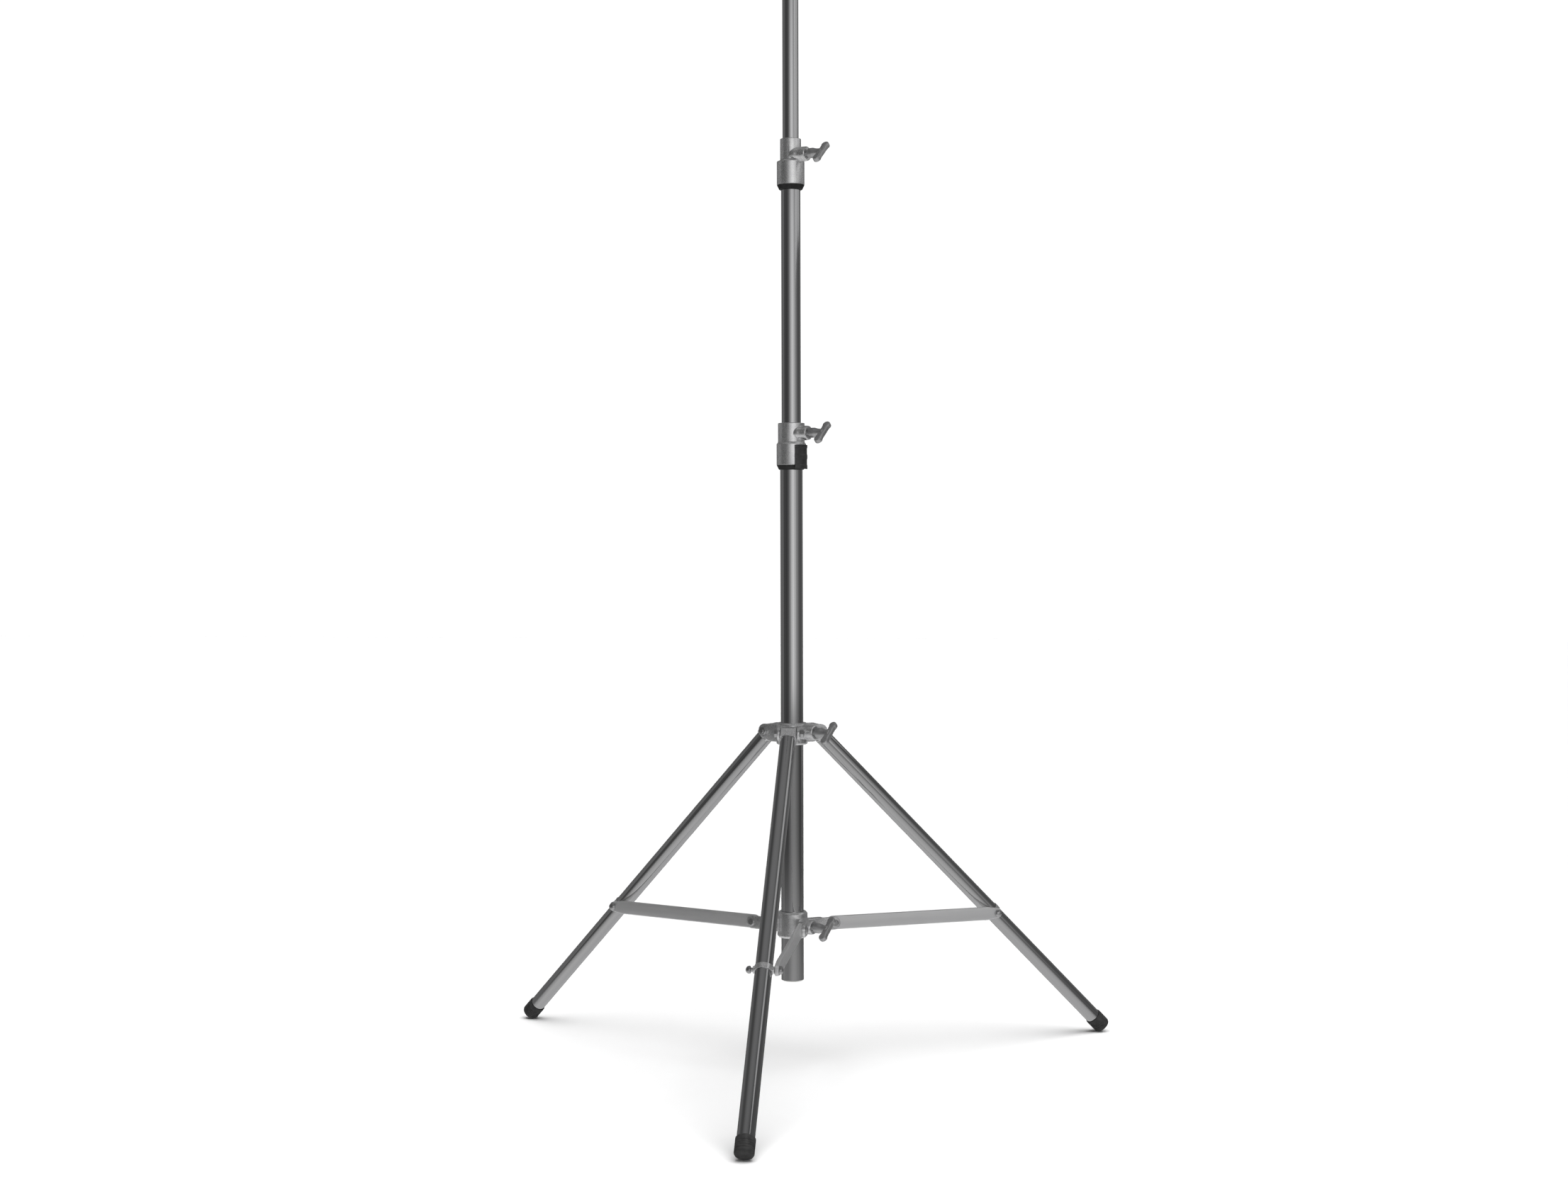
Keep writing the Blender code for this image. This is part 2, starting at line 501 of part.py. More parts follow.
def make_brace(number, azimuth, stand, materials):
    """One brace. Its frame sits on the brace collar's pivot, with +X out along the brace."""
    side = BRACE_SIDES[number - 1]
    place = (BRACE_PIVOT_R * math.cos(azimuth), BRACE_PIVOT_R * math.sin(azimuth), BRACE_PIVOT_Z)
    slope = math.asin(BRACE_DROP / BRACE_LENGTH)
    frame = add_frame(f"brace_{number}_frame", place, (0, slope, azimuth), stand)
    near, far = BRACE_OFFSET - BRACE_THICK / 2, BRACE_OFFSET + BRACE_THICK / 2
    bar = prism(brace_outline(), -far, -near)
    edges = [e for e in bar.edges if abs(e.verts[0].co.z - e.verts[1].co.z) < GAP]
    bmesh.ops.bevel(bar, geom=edges, offset=0.0016, segments=2, affect="EDGES", profile=0.5)
    brace = add_object(f"brace_{number}", to_side(upright(bar), side), materials["brace"], frame)
    inner_hole = to_side(lateral(cylinder(PIVOT_R + GAP, 0, 0.04)), side)
    outer_hole = to_side(lateral(cylinder(BRACE_HOLE_R, 0, 0.04), x=BRACE_LENGTH), side)
    combine(brace, merge(inner_hole, outer_hole), "DIFFERENCE")
    nut = [
        (0, near + GAP), (BRACE_PIN_R, near + GAP), (BRACE_PIN_R, far + GAP), (0.0058, far + GAP),
        (0.0058, far + 0.0030), (0.0050, far + 0.0046), (0.0030, far + 0.0056), (0, far + 0.0059),
    ]  # fmt: skip
    nut_mesh = to_side(lateral(turned(nut, SMALL_SIDES), x=BRACE_LENGTH), side)
    add_object(f"brace_{number}_outer_rivet", nut_mesh, materials["steel"], frame)


def make_brace_collar(stand, materials):
    """The sliding collar. Each lug carries its brace on the face nearer to the leg."""
    low, high = BRACE_COLLAR_Z
    z = BRACE_PIVOT_Z
    outside = [
        (0, low), (BRACE_COLLAR_R - 0.0025, low), (BRACE_COLLAR_R, low + 0.003),
        (BRACE_COLLAR_R, high - 0.003), (BRACE_COLLAR_R - 0.0025, high), (0, high),
    ]  # fmt: skip
    collar = add_object("brace_collar", turned(outside, SIDES), materials["casting"], stand)
    lug_low, lug_high, root, shoulder, nose = z - LUG_END_R, z + LUG_END_R, 0.012, 0.041, 0.046
    plate = [(root, lug_low)] + arc((BRACE_PIVOT_R, z), LUG_END_R, -90, 90, 10) + [(root, lug_high)]
    block = [(0.008, lug_low), (shoulder, lug_low), (nose, z), (shoulder, lug_high), (0.008, lug_high)]
    plate_near, block_near, block_far = LUG_OUTER - LUG_THICK, 0.0135, LUG_OUTER - 0.0006
    holes = []
    for azimuth, side in zip(LEG_AZIMUTHS, BRACE_SIDES):
        web = upright(prism(block, -block_far, -block_near))
        lug = upright(prism(plate, -LUG_OUTER, -plate_near))
        hole = lateral(cylinder(PIVOT_R + GAP, 0.015, 0.04), x=BRACE_PIVOT_R, z=z)
        combine(collar, on_azimuth(to_side(web, side), azimuth), "UNION")
        combine(collar, on_azimuth(to_side(lug, side), azimuth), "UNION")
        holes.append(on_azimuth(to_side(hole, side), azimuth))
    screw_hole = add_boss(collar, BRACE_COLLAR_WING_R, BRACE_COLLAR_KNOB_Z, BASE_R)
    combine(collar, merge(screw_hole, *holes), "DIFFERENCE")
    combine(collar, cylinder(COLLAR_BORE_R, low - 0.01, high + 0.01, SIDES), "DIFFERENCE")
    frame = knob_axis_frame("brace_collar_knob_frame", BRACE_COLLAR_KNOB_Z, stand)
    wing_knob("brace_collar", BRACE_COLLAR_WING_R, BASE_R, frame, materials)
    for number, (azimuth, side) in enumerate(zip(LEG_AZIMUTHS, BRACE_SIDES), 1):
        place = (BRACE_PIVOT_R * math.cos(azimuth), BRACE_PIVOT_R * math.sin(azimuth), z)
        pivot = add_frame(f"brace_pivot_frame_{number}", place, (0, 0, azimuth), stand)
        make_inner_rivet(number, side, pivot, materials)


def make_inner_rivet(number, side, pivot, materials):
    """The rivet that joins a brace to its lug, with a head on each side of the pair."""
    inner, outer = BRACE_OFFSET - BRACE_THICK / 2 - GAP, LUG_OUTER + GAP
    rivet = [
        (0, inner - 0.0022), (0.0052, inner - 0.0022), (0.0066, inner - 0.0010), (0.0066, inner),
        (PIVOT_R, inner), (PIVOT_R, outer), (0.0062, outer), (0.0062, outer + 0.0012),
        (0.0048, outer + 0.0024), (0, outer + 0.0024),
    ]  # fmt: skip
    rivet_mesh = to_side(lateral(turned(rivet, SMALL_SIDES)), side)
    add_object(f"brace_{number}_inner_rivet", rivet_mesh, materials["steel"], pivot)


def make_floor_cutter(stand):
    """A flat box under the floor plane, which levels the underside of each rubber foot."""
    outline = [(-0.7, -0.7), (0.7, -0.7), (0.7, 0.7), (-0.7, 0.7)]
    floor = add_object("floor_cutter", prism(outline, -0.05, 0), None, stand)
    floor.hide_render = True
    floor.display_type = "WIRE"
    return floor


def centre_on_footprint(stand):
    """Moves the whole stand along Y until the middle of its bounding box is over the origin."""
    bpy.context.view_layer.update()
    feet = [obj for obj in bpy.data.objects if obj.name.endswith("_foot")]
    depths = [(obj.matrix_world @ vertex.co).y for obj in feet for vertex in obj.data.vertices]
    stand.location.y = -round((min(depths) + max(depths)) / 2, 5)


def main():
    for obj in list(bpy.data.objects):
        bpy.data.objects.remove(obj, do_unlink=True)
    materials = make_materials()
    stand = add_frame("stand")
    make_mast(stand, materials)
    make_leg_collar(stand, materials)
    make_brace_collar(stand, materials)
    floor = make_floor_cutter(stand)
    for number, azimuth in enumerate(LEG_AZIMUTHS, 1):
        make_leg(number, azimuth, stand, floor, materials)
        make_brace(number, azimuth, stand, materials)
    centre_on_footprint(stand)


main()
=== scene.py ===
"""Looks of the telescopic lighting stand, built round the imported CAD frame.

Every CAD node is replaced by a finer piece with the same size and place. Each piece is
modelled in a local frame that comes from the CAD joints, and rides on its node's body.
"""

import json
import math

import bmesh
import bpy
from mathutils import Matrix, Vector


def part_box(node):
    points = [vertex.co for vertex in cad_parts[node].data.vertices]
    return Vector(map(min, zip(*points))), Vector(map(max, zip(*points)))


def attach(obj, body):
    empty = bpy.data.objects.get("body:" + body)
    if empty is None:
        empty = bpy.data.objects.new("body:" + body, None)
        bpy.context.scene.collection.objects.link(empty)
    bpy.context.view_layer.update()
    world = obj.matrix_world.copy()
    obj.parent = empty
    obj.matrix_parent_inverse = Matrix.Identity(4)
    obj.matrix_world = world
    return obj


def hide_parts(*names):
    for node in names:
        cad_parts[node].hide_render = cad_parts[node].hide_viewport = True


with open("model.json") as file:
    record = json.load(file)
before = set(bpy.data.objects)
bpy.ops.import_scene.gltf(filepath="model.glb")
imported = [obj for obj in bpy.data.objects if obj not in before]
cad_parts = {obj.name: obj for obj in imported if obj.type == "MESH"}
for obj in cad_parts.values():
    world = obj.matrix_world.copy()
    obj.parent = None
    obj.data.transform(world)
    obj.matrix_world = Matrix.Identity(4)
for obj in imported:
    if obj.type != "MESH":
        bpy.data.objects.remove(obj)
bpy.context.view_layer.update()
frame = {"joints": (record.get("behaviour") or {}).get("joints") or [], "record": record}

joints = {joint["name"]: joint for joint in frame["joints"]}
slots = {part["node"]: part["material_slot"] for part in frame["record"]["subparts"]}

# ---------------------------------------------------------------- fineness
ROUND = 96  # facets round the mast and collars
LEG_ROUND = 72
BOLT_ROUND = 48
SHARP, KNOB_SHARP = math.radians(32), math.radians(50)  # edges sharper than these stay crisp
CUT_PHASE, BOSS_PHASE = 0.37, 0.21  # keep the facets of cutters and bosses off those that they meet
PAST = 0.01  # how far a cutter reaches past what it cuts
THROUGH = 0.03  # half the length of a cutter that goes right through
NUMBERS = (1, 2, 3)

# ---------------------------------------------------------------- the camera, about the mast's axis
CAMERA_DISTANCE = 3.5288
CAMERA_HEIGHT = 0.8335
CAMERA_AZIMUTH = math.radians(6.65)
CAMERA_PITCH = math.radians(1.472)
CAMERA_ROLL = -0.0025
CAMERA_SHIFT_X = -0.0049
LENS_MM, SENSOR_MM = 52.05, 36.0

# ---------------------------------------------------------------- the stand's sizes, metres
GAP = 0.0003  # between pieces that touch
WALL = 0.0015
BASE_R, RISER_1_R, RISER_2_R, LEG_R = 0.0175, 0.0150, 0.0125, 0.0125
BASE_BOTTOM, LOWER_COLLAR_Z, UPPER_COLLAR_Z, TOP_SOCKET_Z = 0.132, 0.9275, 1.3610, 1.7860
# Riser collars: radius below and above the shoulder, height of the shoulder and the top, bush radius
LOWER_SIZES = (0.0230, 0.02075, 0.0405, 0.0725, 0.0172)
UPPER_SIZES = (0.0215, 0.0163, 0.0435, 0.0785, 0.0139)
CHAMFER_IN, CHAMFER_HEIGHT, PAINTED_SHADE_HEIGHT = 0.0036, 0.0075, 0.0072  # the casting's lowest band, up to this height, is painted dark: painted shade under the chamfer
COVER_INNER_R, COVER_OUTER_R, COVER_SUNK_R = 0.0233, 0.0250, 0.0244
COVER_LOW, COVER_HIGH = 0.001, 0.0385  # above the collar's lower end
COVER_START, COVER_TURN, COVER_STEPS = -70, 85, 44  # degrees from the mast's +X, and steps along the cover
COVER_ENDS = ((0.84, 0.9808), (0.98, 0.9952), (1, 1))  # share of thickness and height, from each end in
PLUG_DEPTH, DOME_HEIGHT = 0.020, 0.0035
SOCKET_HEIGHT, SOCKET_DEPTH, STUD_R, STUD_STEM_R, STUD_HOLE_DEPTH = 0.036, 0.020, 0.008, 0.006, 0.012
BOSS_R, BOSS_FLARE, FLARE_HEIGHT = 0.0115, 0.28, 0.010
KNOB_REACH, KNOB_STANDOFF, KNOB_TURN = 0.0235, 0.0025, math.radians(46)
WING_LENGTH, WING_THICK, LOBE_R = 0.044, 0.0085, 0.0062
WAIST_SAG, WAIST_SWELL, WAIST_STEPS = 0.0016, 0.0012, 12
SCREW_R, SCREW_PITCH, SCREW_BEVEL, SCREW_IN_KNOB = 0.0040, 0.0010, 0.0006, 0.018
THREAD_STEPS = 8  # rows of vertices along each turn of a thread
PAD_R, PAD_THICK = 0.0040, 0.0030
PIVOT_R, SMALL_HOLE_R = 0.0040, 0.0033
COLLAR_BORE_R = 0.0180
LEG_COLLAR_Z, LEG_COLLAR_R = (0.500, 0.534), 0.0245
LEG_PIVOT_R, LEG_PIVOT_Z = 0.042, 0.520
EAR_INNER, EAR_THICK, EAR_R = 0.0130, 0.0045, 0.011
BRACE_COLLAR_Z, BRACE_COLLAR_R = (0.198, 0.239), 0.0235
BRACE_PIVOT_R, BRACE_HEIGHT, BRACE_THICK, BRACE_TIP_R, BRACE_TAPER = 0.060, 0.021, 0.0064, 0.0080, 0.018
BRACE_OFFSET, BRACE_SIDES = 0.019, (1, -1, 1)
LUG_OUTER, LUG_THICK, LUG_END_R = 0.0275, 0.005, 0.010
PLATE_ROOT = 0.012  # where the ears and lugs start, inside the collar's casting
WEB_ROOT, WEB_END, WEB_POINT, WEB_INNER = 0.008, 0.041, 0.046, 0.0135
LEG_TUBE_START, BRACE_ON_LEG = 0.014, 0.4356
TONGUE_R, TONGUE_HALF, STEM_START, STEM_END = 0.0105, 0.012, 0.0115, 0.034
CLAMP_R, CLAMP_HALF, CLAMP_BOSS_R, CLAMP_BOSS_END = 0.0138, 0.0045, 0.0052, 0.0154
FOOT_R, FOOT_LENGTH, FOOT_FLOOR, FOOT_GROOVES, FOOT_GROOVE_STEP = 0.0140, 0.026, 0.006, 4, 0.0036
FOOT_END_R, FOOT_END_Z = 0.561, 0.008

LEG_LENGTH = math.hypot(FOOT_END_R - LEG_PIVOT_R, LEG_PIVOT_Z - FOOT_END_Z)
BRACE_PIVOT_Z = joints["brace_1_swing"]["pos_m"][2]
LEG_LEAN = math.atan2(FOOT_END_R - LEG_PIVOT_R, LEG_PIVOT_Z - FOOT_END_Z)
BRACE_REACH = LEG_PIVOT_R + BRACE_ON_LEG * math.sin(LEG_LEAN) - BRACE_PIVOT_R
BRACE_DROP = BRACE_PIVOT_Z - LEG_PIVOT_Z + BRACE_ON_LEG * math.cos(LEG_LEAN)
BRACE_LENGTH, BRACE_SLOPE = math.hypot(BRACE_REACH, BRACE_DROP), math.atan2(BRACE_DROP, BRACE_REACH)
KNOBS = {  # tube under the screw, distance of the wing from the mast's axis
    "leg_collar": (BASE_R, 0.071),
    "brace_collar": (BASE_R, 0.067),
    "lower_collar": (RISER_1_R, 0.060),
    "upper_collar": (RISER_2_R, 0.0585),
}


# ---------------------------------------------------------------- places, read from the frame
def box_centre(node):
    low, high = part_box(node)
    return (low + high) / 2


MAST_FOOT = Vector((box_centre("base_tube").x, box_centre("base_tube").y, 0))
MAST_PLACE = Matrix.Translation(MAST_FOOT)


def axes_place(origin, x_axis, y_axis):
    """A frame from two of its axes, which are square to each other."""
    x, y = Vector(x_axis).normalized(), Vector(y_axis).normalized()
    turn = Matrix((x, y, x.cross(y))).transposed()
    return Matrix.Translation(origin) @ turn.to_4x4()


def knob_place(collar):
    """Origin on the mast's axis, +X out along the wing screw."""
    joint = joints[f"{collar}_wing_screw"]
    axis = Vector(joint["axis"])
    origin = MAST_FOOT + Vector((0, 0, joint["pos_m"][2]))
    return axes_place(origin, axis, Vector((0, 0, 1)).cross(axis))


def pivot_place(number):
    """Origin on a leg's pivot, +X away from the mast, +Y along the bolt, +Z up."""
    joint = joints[f"leg_{number}_fold"]
    side = Vector(joint["axis"])
    return axes_place(joint["pos_m"], side.cross((0, 0, 1)), side)


def leg_place(number):
    """Origin on a leg's pivot, +Z down the leg, +Y along the bolt."""
    joint = joints[f"leg_{number}_fold"]
    origin, side = Vector(joint["pos_m"]), Vector(joint["axis"])
    down = (box_centre(f"leg_{number}_tube") - origin).normalized()
    return axes_place(origin, side.cross(down), side)


def brace_place(number):
    """Origin on a brace's inner pivot, in the leg's plane. +X out along the brace, +Y across it."""
    joint = joints[f"brace_{number}_swing"]
    across = Vector(joint["axis"])
    origin = Vector(joint["pos_m"]) - across * BRACE_OFFSET * BRACE_SIDES[number - 1]
    level = axes_place(origin, across.cross((0, 0, 1)), across)
    return level @ Matrix.Rotation(BRACE_SLOPE, 4, "Y")


def azimuth_of(vector):
    return math.atan2(vector[1], vector[0])


KNOB_AZIMUTH = azimuth_of(joints["leg_collar_wing_screw"]["axis"])
LEG_AZIMUTHS = [azimuth_of(pivot_place(n).to_3x3().col[0]) for n in NUMBERS]


# ---------------------------------------------------------------- shapes
def polar(radius, angle, height):
    return radius * math.cos(angle), radius * math.sin(angle), height


def skin(bm, pairs):
    """Faces between pairs of closed rows of vertices. A row of one vertex closes the end with a fan."""
    for upper, lower in pairs:
        for k in range(max(len(upper), len(lower))):
            corners = [upper[k % len(upper)], upper[(k + 1) % len(upper)]]
            corners += [lower[(k + 1) % len(lower)], lower[k % len(lower)]]
            bm.faces.new(list(dict.fromkeys(corners)))
    return bm


def turned(profile, sides, ring=False, phase=0.0):
    """A mesh turned about Z from (radius, height) points. A ring's profile closes on itself;
    any other profile starts and ends on the axis. The phase turns it by a share of one facet."""
    bm = bmesh.new()
    angles = [2 * math.pi * (k + phase) / sides for k in range(sides)]
    rows = []
    for radius, height in profile:
        points = [polar(radius, a, height) for a in angles] if radius > 0 else [(0, 0, height)]
        rows.append([bm.verts.new(point) for point in points])
    pairs = list(zip(rows, rows[1:]))
    if ring:
        pairs.append((rows[-1], rows[0]))
    return skin(bm, pairs)


def rounded(points, fillet, steps=4):
    """A profile with each of its corners rounded. The first and last points stay as they are."""
    made = [points[0]]
    for before, here, after in zip(points, points[1:], points[2:]):
        a, b, c = Vector(before), Vector(here), Vector(after)
        to_a, to_c = a - b, c - b
        reach = min(fillet, 0.45 * to_a.length, 0.45 * to_c.length)
        start, end = b + to_a.normalized() * reach, b + to_c.normalized() * reach
        for k in range(steps + 1):
            t = k / steps
            made.append(tuple((1 - t) ** 2 * start + 2 * t * (1 - t) * b + t**2 * end))
    return made + [points[-1]]


def solid(profile, sides, fillet=0.0006, steps=4, phase=0.0):
    return turned(rounded(profile, fillet, steps), sides, phase=phase)


def ring(points, sides, fillet=0.0003):
    """A turned ring with its corners rounded, from a closed list of (radius, height) points."""
    start = tuple((Vector(points[-1]) + Vector(points[0])) / 2)
    closed = rounded([start] + list(points) + [start], fillet, 3)
    return turned(closed[:-1], sides, ring=True)


def cylinder(radius, start, end, sides=BOLT_ROUND):
    """A plain cutter."""
    return turned([(0, start), (radius, start), (radius, end), (0, end)], sides, phase=CUT_PHASE)


def arc(centre, radius, start_deg, end_deg, steps):
    angles = [math.radians(start_deg + (end_deg - start_deg) * k / steps) for k in range(steps + 1)]
    return [(centre[0] + radius * math.cos(a), centre[1] + radius * math.sin(a)) for a in angles]


def prism(outline, low, high, fillet=0.0, segments=4):
    """An outline in the XY plane, extruded along Z, with its rims rounded."""
    bm = bmesh.new()
    face = bm.faces.new([bm.verts.new((x, y, low)) for x, y in outline])
    made = bmesh.ops.extrude_face_region(bm, geom=[face])
    top = [v for v in made["geom"] if isinstance(v, bmesh.types.BMVert)]
    bmesh.ops.translate(bm, verts=top, vec=(0, 0, high - low))
    if fillet:
        rims = [e for e in bm.edges if abs(e.verts[0].co.z - e.verts[1].co.z) < 1e-6]
        bmesh.ops.bevel(bm, geom=rims, offset=fillet, segments=segments, affect="EDGES", profile=0.5)
    return bm


def turn_mesh(bm, axis, angle):
    bmesh.ops.transform(bm, matrix=Matrix.Rotation(angle, 4, axis), verts=bm.verts)
    return bm


def shift_mesh(bm, x=0, y=0, z=0):
    bmesh.ops.translate(bm, verts=bm.verts, vec=(x, y, z))
    return bm


def radial(bm, height=0):
    """Lays a mesh made along Z out along +X, at a height."""
    return shift_mesh(turn_mesh(bm, "Y", math.pi / 2), z=height)


def lateral(bm, x=0, z=0):
    """Lays a mesh made along Z out along +Y, at a place in the XZ plane."""
    return shift_mesh(turn_mesh(bm, "X", -math.pi / 2), x=x, z=z)


def cross_hole(radius, x=0, z=0):
    """A cutter that goes right through along Y."""
    return lateral(cylinder(radius, -THROUGH, THROUGH), x, z)


def around_mast(bm, azimuth):
    return turn_mesh(bm, "Z", azimuth)


def to_side(bm, number):
    """Mirrors a mesh across its leg's plane if that leg has its brace on the other side."""
    bmesh.ops.scale(bm, vec=(1, BRACE_SIDES[number - 1], 1), verts=bm.verts)
    return bm


def upright(bm):
    """Stands a prism made in XY up in the XZ plane, its thickness running along -Y."""
    return turn_mesh(bm, "X", math.pi / 2)


def placed(bm, place):
    bmesh.ops.transform(bm, matrix=place, verts=bm.verts)
    return bm


# ---------------------------------------------------------------- pieces
def raw_object(name, bm):
    bmesh.ops.recalc_face_normals(bm, faces=bm.faces)
    mesh = bpy.data.meshes.new(name)
    bm.to_mesh(mesh)
    bm.free()
    obj = bpy.data.objects.new(name, mesh)
    bpy.context.scene.collection.objects.link(obj)
    return obj


def carve(bm, joins=(), cuts=()):
    """A mesh with others joined to it and then cut from it, as one mesh."""
    obj = raw_object("carved", bm)
    helpers = []
    for operation, meshes in (("UNION", joins), ("DIFFERENCE", cuts)):
        for other in meshes:
            helper = raw_object("helper", other)
            helpers.append(helper)
            modifier = obj.modifiers.new(operation, "BOOLEAN")
            modifier.operation = operation
            modifier.object = helper
    bpy.context.view_layer.update()
    evaluated = obj.evaluated_get(bpy.context.evaluated_depsgraph_get())
    result = bmesh.new()
    result.from_mesh(evaluated.to_mesh())
    evaluated.to_mesh_clear()
    for extra in [obj, *helpers]:
        bpy.data.objects.remove(extra, do_unlink=True)
    return result


def add_piece(node, bm, place, sharp=SHARP):
    """The fine piece that stands for one CAD node, on that node's body and material slot."""
    obj = raw_object(f"{node}_fine", bm)
    obj.data.shade_smooth()
    obj.data.set_sharp_from_angle(angle=sharp)
    obj.matrix_world = place
    obj.data.materials.append(MATERIALS[slots[node]])
    body = next(name for name, nodes in frame["record"]["behaviour"]["bodies"].items() if node in nodes)
    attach(obj, body)
    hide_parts(node)
    return obj


# ---------------------------------------------------------------- materials
def shader_node(tree, kind, **values):
    node = tree.nodes.new(kind)
    for key, value in values.items():
        setattr(node, key, value)
    return node


def noise(tree, scale, stretch, detail):
    """Noise in the piece's own coordinates, in metres, stretched along its axes."""
    coords = shader_node(tree, "ShaderNodeTexCoord")
    mapping = shader_node(tree, "ShaderNodeMapping")
    mapping.inputs["Scale"].default_value = stretch
    texture = shader_node(tree, "ShaderNodeTexNoise")
    texture.inputs["Scale"].default_value = scale
    texture.inputs["Detail"].default_value = detail
    tree.links.new(coords.outputs["Object"], mapping.inputs["Vector"])
    tree.links.new(mapping.outputs["Vector"], texture.inputs["Vector"])
    return texture.outputs["Fac"]


def span(tree, factor, low, high, start=0.3, end=0.7):
    """The factor's middle range, spread from low to high."""
    node = shader_node(tree, "ShaderNodeMapRange")
    for name, value in (("From Min", start), ("From Max", end), ("To Min", low), ("To Max", high)):
        node.inputs[name].default_value = value
    tree.links.new(factor, node.inputs["Value"])
    return node.outputs["Result"]


def mix_nodes(tree, factor, one, other):
    mix = shader_node(tree, "ShaderNodeMix", data_type="RGBA")
    tree.links.new(factor, mix.inputs["Factor"])
    for value, name in ((one, "A"), (other, "B")):
        if isinstance(value, tuple):
            mix.inputs[name].default_value = value
        else:
            tree.links.new(value, mix.inputs[name])
    return mix.outputs["Result"]


def make_material(name, dark, light, metallic, roughness, fine, coarse, relief, stretch=(1, 1, 1)):
    """Principled finish: colour wanders between dark and light, gloss between two roughnesses,
    and a fine grain stands out of the surface by relief, in metres."""
    material = bpy.data.materials.new(name)
    material.use_nodes = True
    tree = material.node_tree
    shader = tree.nodes["Principled BSDF"]
    shader.inputs["Metallic"].default_value = metallic
    patches, grain = noise(tree, coarse, stretch, 5), noise(tree, fine, stretch, 6)
    colour = mix_nodes(tree, span(tree, patches, 0, 1), (*dark, 1), (*light, 1))
    tree.links.new(colour, shader.inputs["Base Color"])
    tree.links.new(span(tree, grain, *roughness), shader.inputs["Roughness"])
    bump = shader_node(tree, "ShaderNodeBump")
    bump.inputs["Distance"].default_value = relief
    tree.links.new(grain, bump.inputs["Height"])
    tree.links.new(bump.outputs["Normal"], shader.inputs["Normal"])
    return material


DRAWN = (1, 1, 0.02)  # streaks run along +Z, the length of a tube
BRUSHED = (0.04, 1, 1)  # streaks run along +X, the length of a brace
# Each finish: dark and light colour, metallic, roughnesses, scales of the grain and patches, relief, stretch
FINISHES = {
    "chromed_tube": ((0.50, 0.50, 0.51), (0.57, 0.57, 0.57), 1.0, (0.08, 0.15), 900, 60, 0.000006, DRAWN),
    "cast_collar": ((0.78, 0.78, 0.79), (0.88, 0.88, 0.88), 0.94, (0.22, 0.34), 1400, 90, 0.00004),
    # The next finish is near black: painted shade for the band under the riser collars' chamfer
    "painted_shade_casting": ((0.030, 0.030, 0.030), (0.060, 0.060, 0.060), 1.0, (0.32, 0.46), 1400, 90, 0.00005),
    "brace_bar": ((0.76, 0.76, 0.77), (0.86, 0.86, 0.86), 0.86, (0.34, 0.46), 900, 70, 0.00002, BRUSHED),
    "wing_knob": ((0.50, 0.50, 0.51), (0.64, 0.64, 0.64), 0.93, (0.34, 0.50), 1200, 120, 0.00005),
    "bolt_steel": ((0.52, 0.52, 0.53), (0.66, 0.66, 0.66), 1.0, (0.22, 0.36), 1500, 150, 0.00002),
    "black_plastic": ((0.018, 0.018, 0.018), (0.034, 0.034, 0.034), 0.0, (0.36, 0.52), 2200, 120, 0.00004),
    "pale_nylon": ((0.58, 0.58, 0.56), (0.70, 0.70, 0.68), 0.0, (0.40, 0.55), 1600, 100, 0.00003),
    "brass_pad": ((0.52, 0.38, 0.15), (0.66, 0.50, 0.22), 1.0, (0.28, 0.42), 1500, 160, 0.00002),
    "black_rubber": ((0.016, 0.016, 0.016), (0.040, 0.040, 0.040), 0.0, (0.60, 0.82), 1800, 140, 0.00008),
    "pale_floor": ((0.86, 0.86, 0.86), (0.90, 0.90, 0.90), 0.0, (0.75, 0.90), 60, 1.5, 0.00002),
}
MATERIALS = {name: make_material(name, *finish) for name, finish in FINISHES.items()}


# ---------------------------------------------------------------- wing screws
def threaded(radius, start, end, depth=0.00045):
    """A rod with a screw thread along it and bevelled ends."""
    bm = bmesh.new()
    steps = int((end - start) / SCREW_PITCH * THREAD_STEPS)
    rows = [[bm.verts.new((0, 0, start))]]
    for step in range(steps + 1):
        z = start + (end - start) * step / steps
        bevel = max(0.0, SCREW_BEVEL - (z - start), SCREW_BEVEL - (end - z))
        row = []
        for k in range(BOLT_ROUND):
            phase = (z / SCREW_PITCH + k / BOLT_ROUND) % 1
            r = radius - depth * abs(2 * phase - 1) - bevel
            row.append(bm.verts.new(polar(r, 2 * math.pi * k / BOLT_ROUND, z)))
        rows.append(row)
    rows.append([bm.verts.new((0, 0, end))])
    return skin(bm, zip(rows, rows[1:]))


def wing_outline():
    """The wing seen along its thickness: two round lobes and a slimmer curved waist."""
    reach = WING_LENGTH / 2 - LOBE_R
    right = arc((reach, 0), LOBE_R, -118, 118, 26)
    end_x, end_y = right[-1]
    waist = []
    for k in range(1, WAIST_STEPS):
        t = k / WAIST_STEPS
        sag = WAIST_SAG * (1 - (2 * t - 1) ** 2)
        swell = WAIST_SWELL * math.sin(math.pi * t) ** 2
        waist.append((end_x * (1 - 2 * t), end_y - sag + swell))
    left = [(-x, -y) for x, y in right]
    under = [(-x, -y) for x, y in waist]
    return right + waist + left + under


